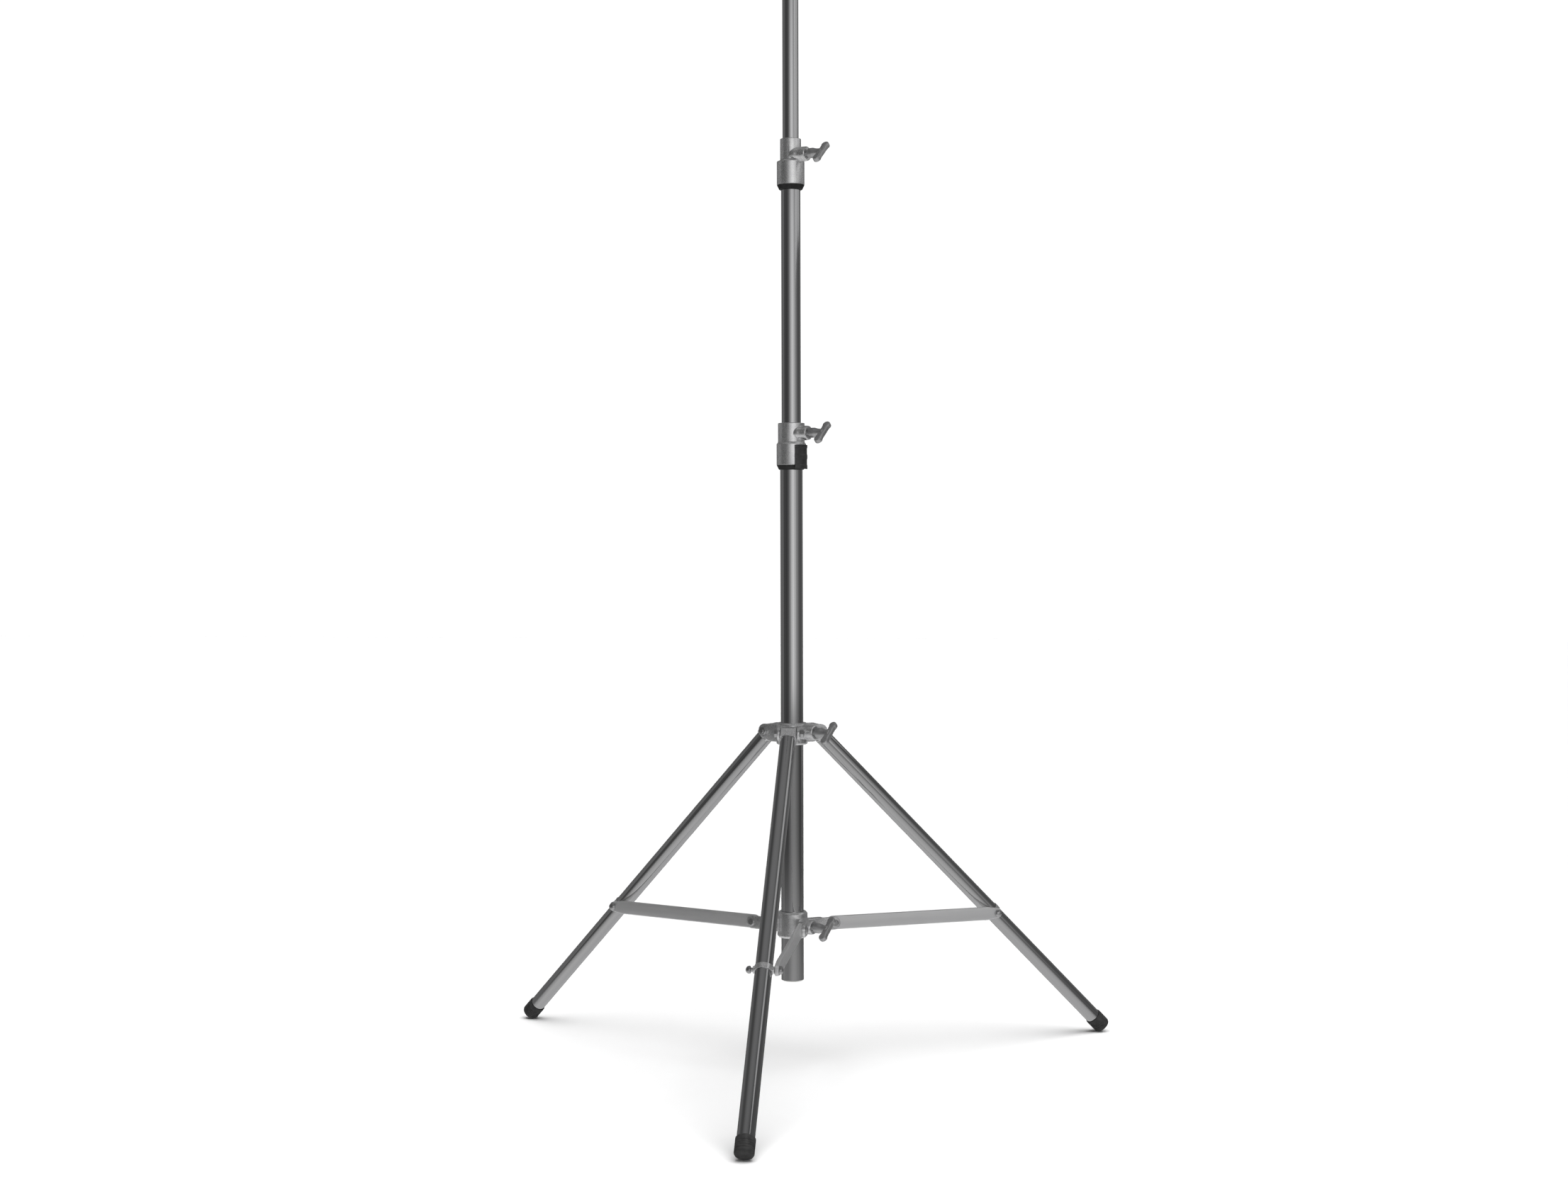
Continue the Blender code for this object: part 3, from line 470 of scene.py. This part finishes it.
def wing_knob(collar):
    tube_r, wing_r = KNOBS[collar]
    place = knob_place(collar)
    hub_start = wing_r - KNOB_REACH
    screw_start, screw_end = tube_r + PAD_THICK + 2 * GAP, hub_start + SCREW_IN_KNOB
    hub = [
        (0, hub_start), (0.0066, hub_start), (0.0078, hub_start + 0.0012), (0.0078, hub_start + 0.0085),
        (0.0072, hub_start + 0.0105), (0.0062, hub_start + 0.0140), (0.0058, hub_start + 0.0180),
        (0.0058, wing_r + 0.0010), (0.0040, wing_r + 0.0020), (0, wing_r + 0.0020),
    ]  # fmt: skip
    wing = prism(wing_outline(), -WING_THICK / 2, WING_THICK / 2, fillet=0.0024, segments=6)
    turn_mesh(wing, "Z", -math.pi / 2)
    shift_mesh(turn_mesh(wing, "X", math.pi / 2 - KNOB_TURN), x=wing_r)
    hole = radial(cylinder(SCREW_R + GAP, hub_start - PAST, screw_end + GAP))
    knob = carve(radial(solid(hub, BOLT_ROUND, 0.0009)), joins=[wing], cuts=[hole])
    add_piece(f"{collar}_knob", knob, place, sharp=KNOB_SHARP)
    add_piece(f"{collar}_screw", radial(threaded(SCREW_R, screw_start, screw_end)), place)
    near = tube_r + GAP
    far = near + PAD_THICK
    pad = [(0, near + 0.0002), (PAD_R * 0.7, near + 0.0001), (PAD_R * 0.8, near), (PAD_R, near), (PAD_R, far)]
    pad.append((0, far))
    add_piece(f"{collar}_pad", radial(solid(pad, BOLT_ROUND, 0.0004)), place)


def boss(collar, height, root):
    """The cast boss of a wing screw, spread sideways where it grows out of the collar."""
    end = KNOBS[collar][1] - KNOB_REACH - KNOB_STANDOFF
    rows = [(0, 0)] + [(BOSS_R, root * k / 3) for k in range(4)]
    rows += [(BOSS_R - 0.0002 * k / 6, root + FLARE_HEIGHT * k / 6) for k in range(1, 7)]
    rows += [(BOSS_R - 0.0004, end - 0.0018), (BOSS_R - 0.0008, end - 0.0008)]
    rows += [(BOSS_R - 0.0020, end), (0, end)]
    bm = turned(rows, LEG_ROUND, phase=BOSS_PHASE)
    for vertex in bm.verts:
        left = max(0.0, 1 - max(0.0, vertex.co.z - root) / FLARE_HEIGHT)
        vertex.co.y *= 1 + BOSS_FLARE * left**2
    return around_mast(radial(bm, height), KNOB_AZIMUTH)


def screw_hole(collar, height):
    tube_r, wing_r = KNOBS[collar]
    return around_mast(radial(cylinder(PAD_R + 0.0004, tube_r - 0.005, wing_r), height), KNOB_AZIMUTH)


# ---------------------------------------------------------------- mast
def tube(node, radius, low, high):
    profile = [(radius, low), (radius, high), (radius - WALL, high), (radius - WALL, low)]
    add_piece(node, ring(profile, ROUND, 0.0004), MAST_PLACE)


def riser_collar(prefix, z, sizes, tube_r, riser_r):
    """The casting on a tube's top end, and the nylon bush that guides the riser inside it."""
    lower_r, upper_r, lower_height, height, bush_r = sizes
    shoulder, top, knob_z = z + lower_height, z + height, joints[f"{prefix}_wing_screw"]["pos_m"][2]
    lip = top - 0.002
    outside = [(0, z), (lower_r - CHAMFER_IN, z), (lower_r, z + CHAMFER_HEIGHT), (lower_r, shoulder - 0.0006)]
    outside += [(lower_r - 0.0010, shoulder + 0.0004), (upper_r + 0.0006, shoulder + 0.0012)]
    outside += [(upper_r, shoulder + 0.0030), (upper_r, top), (0, top)]
    bore = [(0, z - PAST), (tube_r + GAP, z - PAST), (tube_r + GAP, shoulder), (bush_r + GAP, shoulder + GAP)]
    bore += [(bush_r + GAP, lip), (riser_r + 2 * GAP, lip), (riser_r + 2 * GAP, top + PAST), (0, top + PAST)]
    hole = screw_hole(prefix, knob_z)
    collar = carve(
        solid(outside, ROUND, 0.0012, 5),
        joins=[boss(prefix, knob_z, upper_r - 0.001)],
        cuts=[hole.copy(), turned(bore, ROUND, phase=CUT_PHASE)],
    )
    piece = add_piece(prefix, collar, MAST_PLACE)
    # The faces of the collar's lowest band take the near-black finish: painted shade under the chamfer
    piece.data.materials.append(MATERIALS["painted_shade_casting"])
    for face in piece.data.polygons:
        if face.center.z < z + PAINTED_SHADE_HEIGHT:
            face.material_index = 1
    low, high = shoulder + 2 * GAP, lip - GAP
    bush = ring([(bush_r, low), (bush_r, high), (riser_r + GAP, high), (riser_r + GAP, low)], ROUND)
    add_piece(f"{prefix}_bush", carve(bush, cuts=[hole]), MAST_PLACE)


def riser_guide(node, tube_r, outer_r, z):
    """The sliding plug has two bands that touch the tube and a groove between them."""
    inner_r, groove_r = tube_r - WALL - GAP, outer_r - 0.0007
    profile = [(0, z - 0.008), (outer_r, z - 0.008), (outer_r, z - 0.0055), (groove_r, z - 0.0050)]
    profile += [(groove_r, z - 0.0035), (outer_r, z - 0.0030), (outer_r, z - GAP)]
    profile += [(inner_r, z - GAP), (inner_r, z + 0.015), (0, z + 0.015)]
    add_piece(node, solid(profile, ROUND, 0.0004), MAST_PLACE)


def collar_cover():
    """The black cover on the lower collar: a rim at each end and a band across its middle."""
    inner, outer, sunk = COVER_INNER_R, COVER_OUTER_R, COVER_SUNK_R
    low, high = LOWER_COLLAR_Z + COVER_LOW, LOWER_COLLAR_Z + COVER_HIGH
    steps = [(outer, low), (outer, low + 0.0055), (sunk, low + 0.0070), (sunk, low + 0.0150)]
    steps += [(outer, low + 0.0165), (outer, low + 0.0215), (sunk, low + 0.0230), (sunk, high - 0.0055)]
    steps += [(outer, high - 0.0040), (outer, high)]
    outline = rounded([(inner, low), *steps, (inner, high)], 0.0009)
    middle_r, middle_z = (inner + outer) / 2, (low + high) / 2
    bm = bmesh.new()
    rows = []
    for k in range(COVER_STEPS + 1):
        angle = math.radians(COVER_START + COVER_TURN * k / COVER_STEPS)
        thick, tall = COVER_ENDS[min(k, COVER_STEPS - k, len(COVER_ENDS) - 1)]
        row = []
        for radius, z in outline:
            r, h = middle_r + (radius - middle_r) * thick, middle_z + (z - middle_z) * tall
            row.append(bm.verts.new(polar(r, angle, h)))
        rows.append(row)
    skin(bm, zip(rows, rows[1:]))
    bm.faces.new(rows[0])
    bm.faces.new(rows[-1])
    add_piece("lower_collar_cover", bm, MAST_PLACE)


def end_plug():
    """The base tube's end plug, with a dome that shows and a small dimple in it."""
    plug_r, rim = BASE_R - WALL - GAP, BASE_BOTTOM - GAP
    dome = [(BASE_R * math.cos(t / 10), rim - DOME_HEIGHT * math.sin(t / 10)) for t in range(15)]
    plug = [(0, BASE_BOTTOM + PLUG_DEPTH), (plug_r, BASE_BOTTOM + PLUG_DEPTH), (plug_r, rim), *dome]
    plug += [(0.0024, rim - 0.0034), (0.0020, rim - 0.0030), (0, rim - 0.0030)]
    add_piece("base_tube_plug", solid(plug, ROUND, 0.0005), MAST_PLACE)


def mast():
    base_top = LOWER_COLLAR_Z + LOWER_SIZES[2] - GAP
    tube("base_tube", BASE_R, BASE_BOTTOM, base_top)
    end_plug()
    riser_collar("lower_collar", LOWER_COLLAR_Z, LOWER_SIZES, BASE_R, RISER_1_R)
    collar_cover()
    wing_knob("lower_collar")
    for name, tube_r, outer_r in (("riser_1", RISER_1_R, BASE_R), ("riser_2", RISER_2_R, RISER_1_R)):
        low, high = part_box(f"{name}_tube")
        tube(f"{name}_tube", tube_r, low.z, high.z)
        riser_guide(f"{name}_guide", tube_r, outer_r - WALL - GAP, low.z)
    riser_collar("upper_collar", UPPER_COLLAR_Z, UPPER_SIZES, RISER_1_R, RISER_2_R)
    wing_knob("upper_collar")
    top()


def top():
    """The socket on the last riser, with a groove round it, and the lamp stud with its waist."""
    z, end = TOP_SOCKET_Z, TOP_SOCKET_Z + SOCKET_HEIGHT
    outer_r, groove_r = 0.0163, 0.0157
    outside = [(0, z), (0.0146, z), (outer_r, z + 0.0030), (outer_r, z + 0.0125), (groove_r, z + 0.0132)]
    outside += [(groove_r, z + 0.0150), (outer_r, z + 0.0157), (outer_r, z + 0.0300), (0.0145, end), (0, end)]
    base = end + GAP
    bore_r, bore_end = RISER_2_R + GAP, z + SOCKET_DEPTH + GAP
    bore = cylinder(bore_r, z - PAST, bore_end, ROUND)
    hole = cylinder(STUD_STEM_R + GAP, base - STUD_HOLE_DEPTH, base + PAST)
    add_piece("top_socket", carve(solid(outside, ROUND, 0.0007), cuts=[hole, bore]), MAST_PLACE)
    stud = [
        (0, base - 0.011), (STUD_STEM_R, base - 0.011), (STUD_STEM_R, base), (STUD_R, base),
        (STUD_R, base + 0.0090), (0.0070, base + 0.0110), (0.0066, base + 0.0130), (0.0066, base + 0.0190),
        (0.0070, base + 0.0210), (STUD_R, base + 0.0230), (STUD_R, base + 0.0375),
        (STUD_R - 0.0015, base + 0.039), (0, base + 0.039),
    ]  # fmt: skip
    add_piece("top_stud", solid(stud, LEG_ROUND, 0.0006), MAST_PLACE)


# ---------------------------------------------------------------- tripod
def hexagon(radius, low, high):
    """A hexagonal bolt head or nut with softened rims."""
    return prism(arc((0, 0), radius, 0, 300, 5), low, high, fillet=0.0005, segments=3)


def pivot_bolt(number):
    place, half = pivot_place(number), EAR_INNER + EAR_THICK
    shank = threaded(PIVOT_R, -half - 0.002, half + 0.0070, depth=0.0003)
    bolt = carve(hexagon(0.0062, -half - 0.0048, -half - GAP), joins=[shank])
    add_piece(f"leg_pivot_{number}_bolt", lateral(bolt), place)
    hole = cylinder(PIVOT_R + GAP, half - 0.005, half + PAST)
    nut = carve(hexagon(0.0066, half + GAP, half + 0.0055), cuts=[hole])
    add_piece(f"leg_pivot_{number}_nut", lateral(nut), place)


def ear_outline():
    low, high = LEG_COLLAR_Z[0] + 0.004, LEG_PIVOT_Z + EAR_R
    end = arc((LEG_PIVOT_R, LEG_PIVOT_Z), EAR_R, -90, 90, 28)
    return [(PLATE_ROOT, low), (LEG_PIVOT_R - 0.012, low), *end, (PLATE_ROOT, high)]


def leg_collar():
    low, high = LEG_COLLAR_Z
    r = LEG_COLLAR_R
    outside = [(0, low), (r - 0.0018, low), (r, low + 0.0022)]
    outside += [(r, high - 0.003), (r - 0.0027, high), (0, high)]
    ears, holes = [], []
    for azimuth in LEG_AZIMUTHS:
        for near in (-EAR_INNER - EAR_THICK, EAR_INNER):
            ear = prism(ear_outline(), -near - EAR_THICK, -near, fillet=0.0008, segments=3)
            ears.append(around_mast(upright(ear), azimuth))
        holes.append(around_mast(cross_hole(PIVOT_R + GAP, LEG_PIVOT_R, LEG_PIVOT_Z), azimuth))
    knob_z = joints["leg_collar_wing_screw"]["pos_m"][2]
    bore = cylinder(COLLAR_BORE_R, low - PAST, high + PAST, ROUND)
    collar = carve(
        solid(outside, ROUND, 0.0012, 5),
        joins=[*ears, boss("leg_collar", knob_z, r - 0.001)],
        cuts=[screw_hole("leg_collar", knob_z), *holes, bore],
    )
    add_piece("leg_collar", collar, MAST_PLACE)
    wing_knob("leg_collar")
    for number in NUMBERS:
        pivot_bolt(number)


def leg_tube(number, place):
    end = LEG_LENGTH - FOOT_FLOOR - GAP
    wall = [(LEG_R, LEG_TUBE_START), (LEG_R, end), (LEG_R - WALL, end), (LEG_R - WALL, LEG_TUBE_START)]
    bolt_hole = cross_hole(SMALL_HOLE_R, z=BRACE_ON_LEG)
    add_piece(f"leg_{number}_tube", carve(ring(wall, LEG_ROUND, 0.0004), cuts=[bolt_hole]), place)


def hinge_plug(number, place):
    """The tongue that turns on the pivot bolt, and the round stem that fills the leg's upper end."""
    shoulder, stem_r = LEG_TUBE_START - GAP, LEG_R - WALL - GAP
    tongue = arc((0, 0), TONGUE_R, 90, 270, 28) + [(shoulder, -TONGUE_R), (shoulder, TONGUE_R)]
    hinge = upright(prism(tongue, -TONGUE_HALF, TONGUE_HALF, fillet=0.0008, segments=3))
    turn_mesh(hinge, "Y", -math.pi / 2)
    stem = [(0, STEM_START), (LEG_R, STEM_START), (LEG_R, shoulder), (stem_r, shoulder)]
    stem += [(stem_r, STEM_END), (0, STEM_END)]
    hinge = carve(hinge, joins=[solid(stem, LEG_ROUND, 0.0004)], cuts=[cross_hole(PIVOT_R + GAP)])
    add_piece(f"leg_{number}_hinge_plug", hinge, place)


def foot(number, place):
    """A rubber cup with grooves round it, cut level where it stands on the floor."""
    tip, mouth, cup = LEG_LENGTH, LEG_LENGTH - FOOT_LENGTH, LEG_LENGTH - FOOT_FLOOR
    outline = [(0, tip), (FOOT_R - 0.0034, tip), (FOOT_R - 0.0010, tip - 0.0010), (FOOT_R, tip - 0.0034)]
    groove_r = FOOT_R - 0.0005
    for k in range(FOOT_GROOVES):
        z = tip - 0.0060 - FOOT_GROOVE_STEP * k
        outline += [(FOOT_R, z), (groove_r, z - 0.0005), (groove_r, z - 0.0011), (FOOT_R, z - 0.0016)]
    outline += [(FOOT_R, mouth + 0.0010), (FOOT_R - 0.0008, mouth), (LEG_R + GAP, mouth)]
    outline += [(LEG_R + GAP, cup), (0, cup)]
    reach, depth = 0.9, 0.05
    under_floor = prism([(-reach, -reach), (reach, -reach), (reach, reach), (-reach, reach)], -depth, 0)
    cup_mesh = carve(solid(outline, LEG_ROUND, 0.0004), cuts=[placed(under_floor, place.inverted())])
    add_piece(f"leg_{number}_foot", placed(cup_mesh, place), Matrix.Identity(4))


def brace_clamp(number, place):
    """The band round the leg with its cross boss, and the bolt through both."""
    low, high = BRACE_ON_LEG - CLAMP_HALF, BRACE_ON_LEG + CLAMP_HALF
    band = [(0, low), (CLAMP_R, low), (CLAMP_R, high), (0, high)]
    stub = [(0, -CLAMP_BOSS_END), (CLAMP_BOSS_R, -CLAMP_BOSS_END), (CLAMP_BOSS_R, CLAMP_BOSS_END)]
    stub.append((0, CLAMP_BOSS_END))
    bosses = lateral(solid(stub, LEG_ROUND, phase=BOSS_PHASE), z=BRACE_ON_LEG)
    bolt_hole = cross_hole(SMALL_HOLE_R, z=BRACE_ON_LEG)
    bore = cylinder(LEG_R + GAP, low - PAST, high + PAST, LEG_ROUND)
    clamp = carve(solid(band, LEG_ROUND, 0.0005), joins=[bosses], cuts=[bolt_hole, bore])
    add_piece(f"leg_{number}_brace_clamp", clamp, place)
    bolt_r, bolt_end = 0.0030, CLAMP_BOSS_END - GAP
    bolt = [
        (0, -0.0256), (0.0016, -0.0254), (0.0030, -0.0248), (0.0042, -0.0239), (0.0051, -0.0226),
        (0.0056, -0.0210), (0.0056, -0.0190), (0.0046, -0.0183), (bolt_r, -0.0183), (bolt_r, bolt_end),
        (0, bolt_end),
    ]  # fmt: skip
    bolt_mesh = lateral(solid(bolt, BOLT_ROUND, 0.0003), z=BRACE_ON_LEG)
    add_piece(f"leg_{number}_brace_bolt", to_side(bolt_mesh, number), place)


def leg(number):
    place = leg_place(number)
    for build in (leg_tube, hinge_plug, foot, brace_clamp):
        build(number, place)


def brace(number):
    place = brace_place(number)
    half, taper = BRACE_HEIGHT / 2, BRACE_LENGTH - BRACE_TAPER
    tip = arc((BRACE_LENGTH, 0), BRACE_TIP_R, -90, 90, 24)
    outline = tip + [(taper, half)] + arc((0, 0), half, 90, 270, 24) + [(taper, -half)]
    near, far = BRACE_OFFSET - BRACE_THICK / 2, BRACE_OFFSET + BRACE_THICK / 2
    bar = upright(prism(outline, -far, -near, fillet=0.0016, segments=5))
    hole_end = 0.04
    holes = [lateral(cylinder(PIVOT_R + GAP, 0, hole_end))]
    holes.append(lateral(cylinder(SMALL_HOLE_R, 0, hole_end), x=BRACE_LENGTH))
    add_piece(f"brace_{number}", to_side(carve(bar, cuts=holes), number), place)
    shank_r, head_r = 0.0030, 0.0058
    nut = [
        (0, near + GAP), (shank_r, near + GAP), (shank_r, far + GAP), (head_r, far + GAP),
        (head_r, far + 0.0026), (0.0054, far + 0.0037), (0.0046, far + 0.0047), (0.0032, far + 0.0055),
        (0.0016, far + 0.0058), (0, far + 0.0059),
    ]  # fmt: skip
    nut_mesh = lateral(solid(nut, BOLT_ROUND, 0.0003), x=BRACE_LENGTH)
    add_piece(f"brace_{number}_outer_rivet", to_side(nut_mesh, number), place)
    inner, outer = near - GAP, LUG_OUTER + GAP
    rivet = [
        (0, inner - 0.0022), (0.0046, inner - 0.0022), (0.0062, inner - 0.0014), (0.0066, inner - 0.0006),
        (0.0066, inner), (PIVOT_R, inner), (PIVOT_R, outer), (0.0062, outer), (0.0062, outer + 0.0010),
        (0.0056, outer + 0.0018), (0.0044, outer + 0.0024), (0, outer + 0.0024),
    ]  # fmt: skip
    rivet_mesh = lateral(solid(rivet, BOLT_ROUND, 0.0003))
    add_piece(f"brace_{number}_inner_rivet", to_side(rivet_mesh, number), place)


def brace_collar():
    (low, high), r, z = BRACE_COLLAR_Z, BRACE_COLLAR_R, BRACE_PIVOT_Z
    outside = [(0, low), (r - 0.0028, low), (r, low + 0.0032)]
    outside += [(r, high - 0.0032), (r - 0.0028, high), (0, high)]
    below, above = z - LUG_END_R, z + LUG_END_R
    end = arc((BRACE_PIVOT_R, z), LUG_END_R, -90, 90, 28)
    plate = [(PLATE_ROOT, below), *end, (PLATE_ROOT, above)]
    block = [(WEB_ROOT, below), (WEB_END, below), (WEB_POINT, z), (WEB_END, above), (WEB_ROOT, above)]
    plates, blocks, holes = [], [], []
    for number, azimuth in zip(NUMBERS, LEG_AZIMUTHS):
        lug = upright(prism(plate, -LUG_OUTER, LUG_THICK - LUG_OUTER, fillet=0.0008, segments=3))
        web = upright(prism(block, -LUG_OUTER + 0.0006, -WEB_INNER, fillet=0.0012, segments=3))
        hole = lateral(cylinder(PIVOT_R + GAP, 0.015, 0.04), x=BRACE_PIVOT_R, z=z)
        for group, bm in ((plates, lug), (blocks, web), (holes, hole)):
            group.append(around_mast(to_side(bm, number), azimuth))
    knob_z = joints["brace_collar_wing_screw"]["pos_m"][2]
    bore = cylinder(COLLAR_BORE_R, low - PAST, high + PAST, ROUND)
    collar = carve(
        solid(outside, ROUND, 0.0012, 5),
        joins=[*blocks, *plates, boss("brace_collar", knob_z, r - 0.001)],
        cuts=[screw_hole("brace_collar", knob_z), *holes, bore],
    )
    add_piece("brace_collar", collar, MAST_PLACE)
    wing_knob("brace_collar")


# ---------------------------------------------------------------- studio
# Direction in degrees to the right of the camera's, and how bright the studio's wall is there
WALLS = [
    (-179, 0.20), (-140, 0.17), (-100, 0.20), (-75, 0.09), (-52, 0.07), (-36, 0.11), (-18, 0.30), (-2, 0.70),
    (16, 0.98), (34, 0.72), (56, 0.36), (84, 0.14), (103, 0.11), (130, 0.15), (155, 0.20), (179, 0.20),
]  # fmt: skip
# The same below the lower edge of the soft light, and how much of it shows at each elevation
LOW_WALLS = [
    (-179, 0.17), (-140, 0.15), (-100, 0.18), (-75, 0.08), (-52, 0.06), (-36, 0.09), (-18, 0.18), (-2, 0.28),
    (16, 0.30), (34, 0.26), (56, 0.18), (84, 0.08), (103, 0.07), (130, 0.11), (155, 0.16), (179, 0.17),
]  # fmt: skip
LOW_SHARE = [(-90, 1.0), (-6, 1.0), (-2.5, 0.0), (90, 0.0)]
# Elevation in degrees, the brightness there, and how much of it replaces the wall's
UP_DOWN = [(-90, 0.62), (-10, 0.62), (10, 0.10), (45, 0.09), (90, 0.24)]
UP_DOWN_SHARE = [(-60, 1.0), (-30, 0.75), (-20, 0.35), (-12, 0.0), (12, 0.0), (38, 1.0), (90, 1.0)]
BACKDROP = 1.05
FLOOR_SIZE, FLOOR_Z = 14, -0.0006


def make_world():
    """A soft studio all round the stand. Its brightness changes with the compass direction,
    and it turns darker overhead and brighter towards the floor."""
    world = bpy.data.worlds.new("studio")
    bpy.context.scene.world = world
    world.use_nodes = True
    tree = world.node_tree
    coords = shader_node(tree, "ShaderNodeTexCoord")
    mapping = shader_node(tree, "ShaderNodeMapping")
    mapping.inputs["Rotation"].default_value = (0, 0, -CAMERA_AZIMUTH)
    around = shader_node(tree, "ShaderNodeTexGradient", gradient_type="RADIAL")
    tree.links.new(coords.outputs["Generated"], mapping.inputs["Vector"])
    tree.links.new(mapping.outputs["Vector"], around.inputs["Vector"])
    up = shader_node(tree, "ShaderNodeSeparateXYZ")
    tree.links.new(coords.outputs["Generated"], up.inputs["Vector"])
    height = span(tree, up.outputs["Z"], 0, 1, -1, 1)
    upper, lower = [
        level_ramp(tree, around.outputs["Fac"], [(turn_share(angle), level) for angle, level in table])
        for table in (WALLS, LOW_WALLS)
    ]
    low_share, away, share = [
        level_ramp(tree, height, [(rise_share(angle), level) for angle, level in table])
        for table in (LOW_SHARE, UP_DOWN, UP_DOWN_SHARE)
    ]
    studio = mix_nodes(tree, share, mix_nodes(tree, low_share, upper, lower), away)
    path = shader_node(tree, "ShaderNodeLightPath")
    seen = mix_nodes(tree, path.outputs["Is Camera Ray"], studio, (BACKDROP, BACKDROP, BACKDROP, 1))
    tree.links.new(seen, tree.nodes["Background"].inputs["Color"])


def level_ramp(tree, factor, levels):
    """A grey ramp through (position, level) pairs, smooth between them."""
    levels = sorted(levels)
    ramp = shader_node(tree, "ShaderNodeValToRGB")
    ramp.color_ramp.interpolation = "EASE"
    stops = ramp.color_ramp.elements
    stops[0].position, stops[1].position = levels[0][0], levels[-1][0]
    for position, _ in levels[1:-1]:
        stops.new(position)
    for stop, (_, level) in zip(sorted(stops, key=lambda one: one.position), levels):
        stop.color = (level, level, level, 1)
    tree.links.new(factor, ramp.inputs["Fac"])
    return ramp.outputs["Color"]


def turn_share(degrees):
    """A direction, counted to the right from the camera's, as a share of the turn from -X."""
    return ((degrees - 90) % 360 + 180) % 360 / 360


def rise_share(degrees):
    """An elevation as a share of the way from straight down to straight up."""
    return (math.sin(math.radians(degrees)) + 1) / 2


def make_floor():
    bm = bmesh.new()
    bmesh.ops.create_grid(bm, x_segments=1, y_segments=1, size=FLOOR_SIZE)
    floor = raw_object("floor", bm)
    floor.location.z = FLOOR_Z
    floor.data.materials.append(MATERIALS["pale_floor"])
    floor.visible_glossy = False


def add_light(name, kind, place, target, energy, **settings):
    light = bpy.data.lights.new(name, kind)
    light.energy = energy
    for key, value in settings.items():
        setattr(light, key, value)
    obj = bpy.data.objects.new(name, light)
    bpy.context.scene.collection.objects.link(obj)
    obj.location = place
    obj.rotation_euler = (Vector(target) - Vector(place)).to_track_quat("-Z", "Y").to_euler()
    obj.visible_camera = False
    return obj


def make_lights():
    """A large soft light overhead whitens the floor and leaves a faint shadow under the feet.
    A soft box high on the right brightens that side of the upper riser."""
    overhead = add_light("overhead", "SUN", (0.7, -1.0, 4.0), (0, 0, 0), 3.6, angle=math.radians(60))
    overhead.visible_glossy = False
    add_light("side", "AREA", (2.0, 0.3, 2.2), (0, 0.14, 1.7), 3.2, shape="RECTANGLE", size=2.6, size_y=0.9)


def make_camera():
    camera = bpy.data.objects.new("camera", bpy.data.cameras.new("camera"))
    bpy.context.scene.collection.objects.link(camera)
    camera.data.lens, camera.data.sensor_width = LENS_MM, SENSOR_MM
    camera.data.shift_x = CAMERA_SHIFT_X
    away = Vector((math.sin(CAMERA_AZIMUTH), -math.cos(CAMERA_AZIMUTH), 0)) * CAMERA_DISTANCE
    camera.location = MAST_FOOT + away + Vector((0, 0, CAMERA_HEIGHT))
    turn = Matrix.Rotation(CAMERA_AZIMUTH, 3, "Z") @ Matrix.Rotation(math.pi / 2 - CAMERA_PITCH, 3, "X")
    camera.rotation_euler = (turn @ Matrix.Rotation(CAMERA_ROLL, 3, "Z")).to_euler()
    bpy.context.scene.camera = camera


mast()
leg_collar()
brace_collar()
for number in NUMBERS:
    leg(number)
    brace(number)

make_world()
make_floor()
make_lights()
make_camera()
bpy.context.scene.view_settings.view_transform = "Standard"
